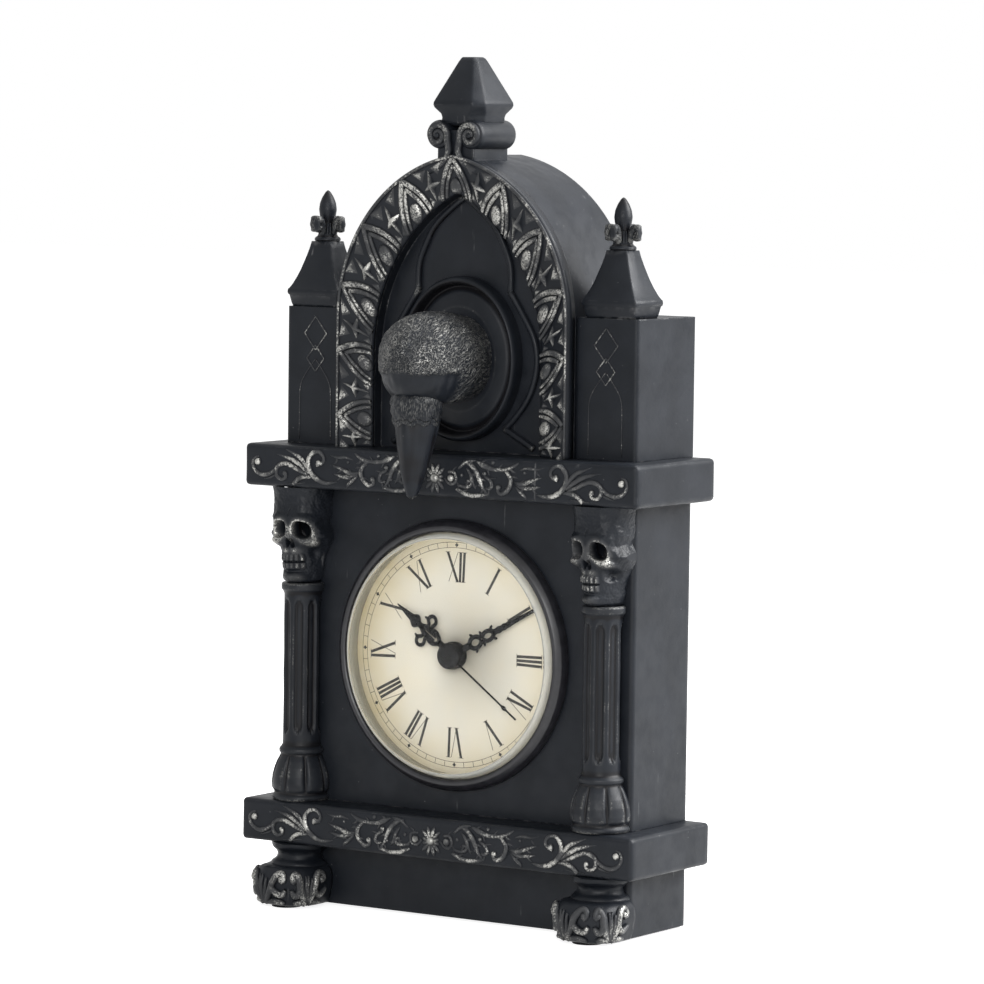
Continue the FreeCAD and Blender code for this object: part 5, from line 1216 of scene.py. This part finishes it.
def skull(side):
    node = sided(side, "skull")
    low, high = span(node)
    x = (low.x + high.x) / 2
    height = high.z - low.z
    shift = -0.9 * side  # the faces turn a little towards the dial
    heights, *outlines = np.array(SKULL_LEVELS).T
    bm = bmesh.new()
    rubbed = bm.verts.layers.float.new("raised")
    bmesh.ops.create_grid(bm, x_segments=230, y_segments=190, size=1)
    for vert in bm.verts:
        angle = vert.co.x * math.radians(92)
        up = (vert.co.y + 1) / 2 * SKULL_HEIGHT
        wide, reach, square = (float(np.interp(up, heights, values)) for values in outlines)
        sine, cosine = math.sin(angle), math.cos(angle)
        scale = (abs(sine) ** square + abs(cosine) ** square) ** (-1 / square)
        across, forward = wide * sine * scale, reach * cosine * scale
        face = smooth_step(forward, 3.0, 7.5)
        centred = across - shift * face
        half = abs(centred)
        front = smooth_step(forward, 5.0, 9.0)
        proud = forms(HEAD_FORMS, half, up) + forms(FACE_FORMS, half, up) * face
        proud += forms(JAW_FORMS, half, up) * front
        # sockets and nose
        tilt = up + 0.14 * (half - 4.2)
        proud -= 6.8 * dip(half, tilt, SOCKET, SOCKET_SIZE, 2.5, 0.42) * face
        hole = dip(half, tilt, SOCKET, SOCKET_SIZE)
        rim = bump(half, tilt, SOCKET, (5.0, 5.2)) * (1 - hole) * face
        proud += 0.5 * rim
        proud -= 2.6 * dip(half, up, (0.85, 13.7 - 0.3 * half), (0.95, 1.75), 2, 0.6) * face
        # teeth, and the line between the jaws
        mouth = 1 - smooth_step(half, 3.3, 4.2)
        tooth = abs(math.sin(math.pi * centred / TOOTH)) ** 0.6
        upper = smooth_step(up, 7.2, 7.7) * (1 - smooth_step(up, 9.2, 10.2))
        lower = smooth_step(up, 4.4, 5.2) * (1 - smooth_step(up, 6.5, 7.0))
        proud += front * mouth * (0.75 * tooth - 0.15) * (upper + lower * 0.9)
        proud -= 1.0 * bump(0, up, (0, 7.1), (1, 0.45)) * mouth * front
        # a crack down the forehead
        proud -= 0.55 * bump(centred + 0.3 * math.sin(up * 1.7), up, (0, 23.6), (0.55, 2.4))
        rough = noise.noise(Vector((across, forward, up)) * 0.45 + Vector((side, 0, 0))) * 0.22
        rough += noise.noise(Vector((across, forward, up)) * 1.3 + Vector((0, side, 0))) * 0.10
        touched = 2.9 * rim + 0.9 * front * mouth * tooth * (upper + lower)
        touched += forms(NOSE_SILVER, half, up) + forms(CHEEK_SILVER, half, up) * face
        touched += forms(JAW_SILVER, half, up) * front
        # inside the sockets the value drops below zero, so the finish paints shade there
        vert[rubbed] = min(touched, 1) - 0.8 * hole
        length = math.hypot(across, forward)
        factor = (length + proud + rough) / length
        vert.co = Vector((across * factor, -forward * factor, low.z + up * height / SKULL_HEIGHT))
    face_outward(bm)
    for vert in bm.verts:
        vert.co.y = clamp(vert.co.y, low.y + 0.02, 0)
        vert.co.x = clamp(vert.co.x, -SKULL_HALF_WIDTH, SKULL_HALF_WIDTH)
    bmesh.ops.translate(bm, vec=(x, 0, 0), verts=bm.verts)
    close_ends(bm)
    new_piece(node + "_bone", bm, brushed_relief, stands_for=[node])


# Feet: a turned neck on a block of scrolls and shell ribs

FOOT_TOP, FOOT_MIDDLE = 13.0, -3.2
FOOT_SQUARE = 0.66  # 1 would give an oval block
FOOT_ROUND = 1.16  # the wall's length for a radian, against half the width
FAN_SPACING, FAN_SHIFT = 19.5, -4.0
FOOT_FAN = [
    # (distance from the fan's middle, height, radius) along each stroke of one half
    [(0.0, 1.0, 0.6), (0.1, 4.6, 0.85), (0.5, 8.0, 0.7), (0.9, 10.6, 0.35)],
    [(0.5, 0.9, 0.6), (1.9, 3.6, 0.8), (2.6, 6.8, 0.75), (2.9, 9.6, 0.35)],
    [(1.0, 0.9, 0.8), (3.2, 3.4, 1.15), (4.3, 6.4, 1.3), (4.5, 8.7, 1.3), (5.5, 10.6, 1.25),
     (7.2, 11.4, 1.15), (8.7, 10.3, 1.05), (8.5, 8.7, 0.95), (7.3, 8.3, 0.85)],
    [(4.1, 7.0, 1.1), (4.6, 4.9, 1.25), (6.2, 3.8, 1.25), (8.2, 4.2, 1.15), (9.3, 5.8, 0.7)],
    [(1.0, 0.8, 0.8), (3.8, 1.7, 1.1), (6.2, 1.5, 1.1), (8.2, 1.0, 0.6)],
]
FOOT_BALL = (6.5, 9.2)  # in the turn of the scroll
NECK_PROFILE = [
    # radius and height
    (0, 12.4), (9.6, 12.4), (9.9, 13.1), (9.3, 14.0), (8.0, 14.9), (7.5, 16.2), (7.9, 17.4),
    (8.9, 18.2), (9.5, 18.9), (9.6, 20.0), (9.5, 20.6), (0, 20.6),
]


def foot(side):
    node = sided(side, "foot")
    low, high = span(node)
    x = (low.x + high.x) / 2
    half = (high.x - low.x) / 2
    reach = -low.y

    def wall(along, up, out):
        """A point on the block's bulging wall; along runs round it from the middle of the front."""
        share = up / FOOT_TOP
        swell = (0.80 + 0.18 * math.sin(math.pi * min(0.08 + share * 0.62, 0.5))
                 - 0.10 * max(share - 0.75, 0) / 0.25)
        angle = along / (half * FOOT_ROUND)
        sine, cosine = math.sin(angle), math.cos(angle)
        across = math.copysign(abs(sine) ** FOOT_SQUARE, sine) * (half - 0.9) * swell
        forward = math.copysign(abs(cosine) ** FOOT_SQUARE, cosine) * (reach - 4.3) * swell
        return Vector((across + out * sine, FOOT_MIDDLE - forward - out * cosine, low.z + up))

    body = turned([(0, 0.02), (0.96, 0.02), (1, 0.5)] + [(1, FOOT_TOP * n / 14) for n in range(1, 13)]
                  + [(0.97, 12.5), (0.9, 12.9), (0, FOOT_TOP)], 120)
    for vert in body.verts:
        radius = vert.co.xy.length
        angle = math.atan2(vert.co.x, -vert.co.y)
        spot = wall(angle * half * FOOT_ROUND, vert.co.z, -0.45)
        vert.co = Vector((0, FOOT_MIDDLE, spot.z)).lerp(spot, min(radius, 1))
    neck = turned(NECK_PROFILE, 64, 0.35, 2)
    bmesh.ops.translate(neck, vec=(0, -2.6, low.z), verts=neck.verts)
    join(body, neck)
    face_outward(body)
    lines = []
    bm = bmesh.new()
    for number in range(-2, 3):
        centre = number * FAN_SPACING + FAN_SHIFT
        for line in FOOT_FAN:
            for way in (-1, 1):
                lines.append(strand(line, lambda along, up: wall(centre + way * along * 0.9, up, -0.1)))
        for way in (-1, 1):
            along, up = FOOT_BALL
            add_ball(bm, wall(centre + way * along, up, 0.0), 1.1, 2)
    add_strands(bm, lines, rings=4, sides=2)
    carve(bm, body, 1.25 if side < 0 else 1.5)
    for vert in bm.verts:
        vert.co += noise.noise_vector(vert.co * 0.4 + Vector((side * 9, 0, 0))) * 0.22
        vert.co.x = clamp(vert.co.x, -half + 0.02, half - 0.02)
        vert.co.y = max(vert.co.y, low.y + 0.02)
        vert.co.z = clamp(vert.co.z, low.z, high.z)
    bmesh.ops.translate(bm, vec=(x, 0, 0), verts=bm.verts)
    cut_behind(bm)
    close_ends(bm)
    new_piece(node + "_scrolls", bm, brushed_relief, stands_for=[node])


# Bezel, lens, dial and hands

BEZEL_WIDTH, LENS_GAP, LENS_THICKNESS = 4.25, 0.35, 1.0
ROUND_STEPS = 160


def bezel_and_lens():
    low, high = span("bezel")
    outer = (high.x - low.x) / 2
    rise = -low.y
    inner = outer - BEZEL_WIDTH
    bm = turned([(inner, -0.02), (inner, -rise * 0.70), (inner + 0.35, -rise * 0.9),
                 (inner + 1.1, -rise), (inner + 2.0, -rise * 0.97), (outer - 0.8, -rise * 0.70),
                 (outer - 0.15, -rise * 0.42), (outer, -rise * 0.2), (outer, -0.02), (inner, -0.02)],
                ROUND_STEPS, 0.25, 2)
    facing_front(bm, 0, dial_z)
    new_piece("bezel_ring", bm, bezel_black, stands_for=["bezel"])
    low, high = span("lens")
    radius = inner - LENS_GAP
    flange = (high.x - low.x) / 2
    front, behind = low.y, low.y + LENS_THICKNESS
    face = turned([(0, front), (radius - 1.8, front), (radius - 1.62, front), (radius - 1.62, behind),
                   (radius - 1.8, behind), (0, behind)], ROUND_STEPS)
    facing_front(face, 0, dial_z)
    new_piece("lens_face", face, FINISHES["clear_lens"], stands_for=["lens"])
    wall = turned([(radius - 1.6, front), (radius - 0.8, front + 0.25), (radius - 0.2, behind),
                   (radius, front + 2.0), (radius, 0), (flange, 0), (flange, high.y),
                   (radius - 0.9, high.y), (radius - 0.9, front + 2.2), (radius - 1.1, front + 1.4),
                   (radius - 1.6, behind), (radius - 1.6, front)], ROUND_STEPS)
    facing_front(wall, 0, dial_z)
    milky = lens_finish("milky_plastic", (0.66, 0.66, 0.62), 0.22, 0.6)
    new_piece("lens_wall", wall, milky, stands_for=["lens"])


NUMERALS = ["XII", "I", "II", "III", "IV", "V", "VI", "VII", "VIII", "IX", "X", "XI"]
LETTERS = {
    # width, then each stroke's foot and top as shares of it, and whether it is thick
    "I": (1.5, [(0.5, 0.5, True)]),
    "V": (4.6, [(0.5, 0.08, True), (0.5, 0.92, False)]),
    "X": (4.8, [(0.92, 0.08, True), (0.08, 0.92, False)]),
}
NUMERAL_FOOT, NUMERAL_TOP = 24.2, 34.0  # distances from the dial's middle
NARROW = 0.86
THICK, THIN, SERIF = 0.95, 0.24, 0.2
TRACK = (35.5, 37.3)
TRACK_STEPS = 120
PRINT_LIFT = 0.012
DIAL_RADIUS, DIAL_HOLE = 41.7, 4.0


def numeral_strokes(letters):
    """Strokes of a Roman numeral as (foot x, top x, thick)."""
    strokes = []
    start = -sum(LETTERS[letter][0] for letter in letters) / 2
    for letter in letters:
        wide, parts = LETTERS[letter]
        strokes += [(start + wide * low, start + wide * high, thick) for low, high, thick in parts]
        start += wide
    return strokes


def dial_print():
    low, high = dial_low, dial_high
    bm = bmesh.new()
    fine = bmesh.new()

    def at_angle(angle):
        """Turns to an angle of the dial, just in front of the card."""
        return Matrix.Translation((0, low.y - PRINT_LIFT, dial_z)) @ Matrix.Rotation(angle, 4, "Y")

    def stroke(target, start, end, width, angle):
        """A flat bar between two places on the dial, given as (across, out) and turned to its hour."""
        start, end = Vector((start[0], 0, start[1])), Vector((end[0], 0, end[1]))
        way = end - start
        lean = math.atan2(way.x, way.z)
        place = (at_angle(angle) @ Matrix.Translation((start + end) / 2) @ Matrix.Rotation(lean, 4, "Y")
                 @ Matrix.Diagonal((width, 0.02, way.length, 1)))
        bmesh.ops.create_cube(target, size=1, matrix=place)

    for hour, letters in enumerate(NUMERALS):
        angle = math.radians(30 * hour)
        for foot_x, top_x, thick in numeral_strokes(letters):
            ends = (foot_x * NARROW, NUMERAL_FOOT), (top_x, NUMERAL_TOP)
            stroke(bm if thick else fine, *ends, THICK if thick else THIN, angle)
            if thick:
                for x, z in ends:
                    stroke(fine, (x - THICK, z), (x + THICK, z), SERIF, angle)
    for minute in range(60):
        stroke(fine, (0, TRACK[0]), (0, TRACK[1]), 0.2, math.radians(6 * minute))
    for radius in TRACK:
        half = radius * math.tan(math.pi / TRACK_STEPS)
        for number in range(TRACK_STEPS):
            stroke(fine, (-half, radius), (half, radius), 0.18, math.radians(3 * number))
    for hour in range(12):
        # a diamond in the track at every hour
        place = (at_angle(math.radians(30 * hour)) @ Matrix.Translation((0, 0, sum(TRACK) / 2))
                 @ Matrix.Rotation(math.pi / 4, 4, "Y") @ Matrix.Diagonal((1.0, 0.03, 1.0, 1)))
        bmesh.ops.create_cube(bm, size=1, matrix=place)
    new_piece("dial_numerals", bm, ink, flat=True)
    new_piece("dial_track", fine, fine_ink, flat=True)
    disc = turned([(DIAL_HOLE, low.y), (DIAL_RADIUS - 0.1, low.y), (DIAL_RADIUS, low.y + 0.1),
                   (DIAL_RADIUS, high.y), (DIAL_HOLE, high.y), (DIAL_HOLE, low.y)], 144)
    facing_front(disc, 0, dial_z)
    new_piece("dial_card", disc, FINISHES["ivory_dial"], stands_for=["dial"])


HOUR_SCROLLS = [
    # (across, out, half width) along each stroke
    [(0, 4.0, 1.1), (0, 5.6, 1.4), (0, 7.0, 1.0)],
    [(0, 6.4, 0.8), (1.2, 7.4, 0.8), (2.2, 9.2, 0.75), (1.9, 11.0, 0.75), (1.0, 12.0, 0.8)],
    [(0.9, 8.6, 0.7), (0.9, 10.6, 0.8), (1.1, 12.6, 0.95), (0.9, 14.2, 0.9), (0, 15.4, 0.9)],
    [(1.0, 11.6, 0.7), (2.6, 12.0, 0.65), (3.4, 11.4, 0.65), (4.8, 11.4, 0.65), (5.7, 12.5, 0.65),
     (5.6, 13.8, 0.65), (4.5, 14.6, 0.65), (3.2, 14.3, 0.65), (2.6, 13.2, 0.65), (1.4, 13.2, 0.6)],
    [(3.6, 14.6, 0.5), (3.7, 15.5, 0.55), (3.4, 16.0, 0.25)],
    [(0, 15.0, 1.1), (0, 16.4, 1.0), (0, 17.2, 1.2)],
    [(0.4, 17.0, 0.8), (1.7, 17.6, 0.75), (1.9, 18.7, 0.5), (1.0, 19.6, 0.5)],
    [(0, 17.0, 1.4), (0, 18.6, 1.6), (0, 20.2, 1.3), (0, 22.6, 0.95), (0, 27.2, 0.2)],
]
MINUTE_SCROLLS = [
    [(0, 4.0, 1.4), (0, 6.6, 1.1), (0, 8.2, 1.2)],
    [(0, 8.2, 0.9), (1.5, 9.0, 0.8), (1.95, 10.8, 0.75), (1.4, 12.6, 0.8), (0.2, 13.6, 0.9)],
    [(0.2, 13.8, 0.9), (1.3, 14.8, 0.75), (1.6, 16.4, 0.7), (1.2, 18.0, 0.75), (0, 19.2, 0.9)],
    [(1.9, 10.4, 0.6), (2.9, 10.4, 0.6), (3.1, 9.7, 0.3)],
    [(0.8, 13.8, 0.7), (2.1, 14.3, 0.65), (2.5, 13.6, 0.3)],
    [(1.2, 18.2, 0.6), (2.2, 18.6, 0.6), (2.2, 19.4, 0.3)],
    [(0, 19.0, 1.1), (0, 20.1, 0.9), (0, 21.3, 1.35), (0, 22.4, 0.8), (0, 23.5, 1.3), (0, 24.5, 0.85),
     (0, 25.5, 1.1), (0, 26.7, 0.85), (0, 29.0, 0.8), (0, 36.3, 0.6)],
]


HOUR_HAND_AT, MINUTE_HAND_AT, SECOND_HAND_AT = 305.2, 62.1, 126.0  # degrees past twelve
SECOND_HUB = [
    # radius, and how far it lies before the hand's back
    (0.45, 0), (4.3, 0), (4.4, 0.15), (4.4, 0.9), (4.15, 1.45),
]
NEEDLE = [
    # distance from the arbor and half width, with a bead near the tip
    (4.0, 0.36), (14, 0.36), (25.2, 0.33), (25.6, 0.36), (26.6, 0.95), (27.7, 0.36), (28.2, 0.33),
    (32.5, 0.36),
]


def point_hand(bm, y, angle):
    """Turns a hand that points at twelve to its angle, and brings it to the arbor."""
    place = Matrix.Translation((0, y, dial_z)) @ Matrix.Rotation(math.radians(angle), 4, "Y")
    bmesh.ops.transform(bm, matrix=place, verts=bm.verts)


def hand(name, strokes, hub, bore, angle, body):
    """A hand of curling strokes on a ring."""
    low, high = span(name)
    half = (high.y - low.y) / 2
    bm = bmesh.new()
    add_strands(bm, mirrored([strand(line, lambda x, z: (x, 0, z)) for line in strokes]), rings=6)
    bmesh.ops.scale(bm, vec=(1, half * 2 / 1.1, 1), verts=bm.verts)
    ring = turned([(bore, -half), (hub, -half), (hub, half), (bore, half), (bore, -half)], 48)
    facing_front(ring, 0, 0)
    join(bm, ring)
    for vert in bm.verts:
        vert.co.y = clamp(vert.co.y, -half, half)
    point_hand(bm, (low.y + high.y) / 2, angle)
    new_piece(name + "_scroll", bm, hand_black, body=body, stands_for=[name])


def hands():
    low, high = span("shaft_nut")
    nut = turned([(4.05, high.y), (4.5, high.y), (4.5, low.y + 0.2), (4.3, low.y), (4.05, low.y),
                  (4.05, high.y)], 64)
    facing_front(nut, 0, dial_z)
    new_piece("round_nut", nut, hand_black, stands_for=["shaft_nut"])
    hand("hour_hand", HOUR_SCROLLS, 4.6, 2.5, HOUR_HAND_AT, "hour_arbor")
    hand("minute_hand", MINUTE_SCROLLS, 4.2, 1.6, MINUTE_HAND_AT, "minute_arbor")
    low, high = span("second_hand")
    back = high.y
    hub = [(radius, back - rise) for radius, rise in SECOND_HUB]
    bm = turned(hub + [(3.4, low.y + 0.05), (0, low.y)], 64, 0.12, 2)
    facing_front(bm, 0, 0)
    level = back - 0.15
    needle = bmesh.new()
    add_strands(needle, [strand(NEEDLE, lambda out: (0, level, out))], rings=4)
    for vert in needle.verts:
        vert.co.y = level + (vert.co.y - level) * 0.4
    join(bm, needle)
    point_hand(bm, 0, SECOND_HAND_AT)
    new_piece("second_hand_needle", bm, hand_black, body="seconds_train",
              stands_for=["second_hand"])


arch_moulding()
niche_carving()
raven_head()
for title, node in (("upper_shelf", "upper_ledge"), ("lower_shelf", "lower_ledge")):
    ledge(title, node)
ledge_carving("upper_foliage", ledge_low, ledge_high)
ledge_carving("lower_foliage", step_low, step_high)
for left_or_right in (-1, 1):
    tower_lines(left_or_right)
for left_or_right in (-1, 1):
    for make in (spire, fleuron, column, skull, foot):
        make(left_or_right)
crown()
finial()
bezel_and_lens()
dial_print()
hands()

# Finishes of the solids that stay

slots = {part["node"]: part["material_slot"] for part in frame["record"]["subparts"]}
for node, solid in frame["nodes"].items():
    solid.data.materials.clear()
    solid.data.materials.append(FINISHES[slots[node]])

# Camera, light and floor

CAMERA_PLACE = (903.5, -1332.8, 267.2)
AZIMUTH, ELEVATION, ROLL = 33.717, 4.443, 0.725
LENS, FILM = 179.83, 36.0

camera_data = bpy.data.cameras.new("camera")
camera_data.lens = LENS
camera_data.sensor_width = FILM
camera_data.clip_end = 20
camera = bpy.data.objects.new("camera", camera_data)
scene.collection.objects.link(camera)
turn = (Matrix.Rotation(math.radians(AZIMUTH), 4, "Z")
        @ Matrix.Rotation(math.radians(90 - ELEVATION), 4, "X")
        @ Matrix.Rotation(math.radians(ROLL), 4, "Z"))
camera.matrix_world = Matrix.Translation(Vector(CAMERA_PLACE) * MM) @ turn
scene.camera = camera

scene.view_settings.view_transform = "Standard"
world = bpy.data.worlds.new("studio")
scene.world = world
world.use_nodes = True
sky = world.node_tree
background = sky.nodes["Background"]
SKY_ON_SURFACES, SKY_SEEN, FLOOR_GLOW = 0.62, 1.0, 0.86


def sum_of(tree, first, second):
    node = tree.nodes.new("ShaderNodeMath")
    node.operation = "ADD"
    node.use_clamp = True
    tree.links.new(first, node.inputs[0])
    tree.links.new(second, node.inputs[1])
    return node.outputs[0]


def seen(tree, rays):
    """1 for the rays that see the background itself."""
    return sum_of(tree, sum_of(tree, rays.outputs["Is Camera Ray"], rays.outputs["Is Glossy Ray"]),
                  rays.outputs["Is Transmission Ray"])


strength = sky.nodes.new("ShaderNodeMapRange")
strength.inputs["To Min"].default_value = SKY_ON_SURFACES
strength.inputs["To Max"].default_value = SKY_SEEN
sky.links.new(seen(sky, sky.nodes.new("ShaderNodeLightPath")), strength.inputs["Value"])
sky.links.new(strength.outputs[0], background.inputs["Strength"])
background.inputs["Color"].default_value = (1, 1, 1, 1)

LAMPS = (
    # name, place, what it points at, size in metres and watts
    ("key", (1.05, 0.55, 0.85), (0.05, 0.02, 0.16), 0.9, 60),
    ("top", (0.15, 0.35, 1.25), (0, 0, 0.24), 0.7, 13),
    ("fill", (0.75, -1.5, 0.6), (0, 0, 0.14), 0.8, 18),
)
for name, where, aim, size, power in LAMPS:
    lamp = bpy.data.lights.new(name, "AREA")
    lamp.shape = "SQUARE"
    lamp.size = size
    lamp.energy = power
    holder = bpy.data.objects.new(name, lamp)
    scene.collection.objects.link(holder)
    holder.location = where
    holder.rotation_euler = (Vector(aim) - Vector(where)).to_track_quat("-Z", "Y").to_euler()

floor_shape = bmesh.new()
bmesh.ops.create_grid(floor_shape, x_segments=1, y_segments=1, size=6)
floor_mesh = bpy.data.meshes.new("floor")
floor_shape.to_mesh(floor_mesh)
floor_shape.free()
floor = bpy.data.objects.new("floor", floor_mesh)
scene.collection.objects.link(floor)
paper = Finish("pale_floor")
paper.done(Base_Color=(0.42, 0.42, 0.42, 1), Roughness=0.9, Specular_IOR_Level=0.0)
brightness = paper.maths("MULTIPLY", seen(paper.tree, paper.add("LightPath", {})), FLOOR_GLOW)
glow = paper.add("Emission", {"Color": (1, 1, 1, 1), "Strength": brightness})
both = paper.add("AddShader", {0: paper.shader.outputs[0], 1: glow.outputs[0]})
paper.feed(paper.tree.nodes["Material Output"], {"Surface": both.outputs[0]})
floor_mesh.materials.append(paper.material)
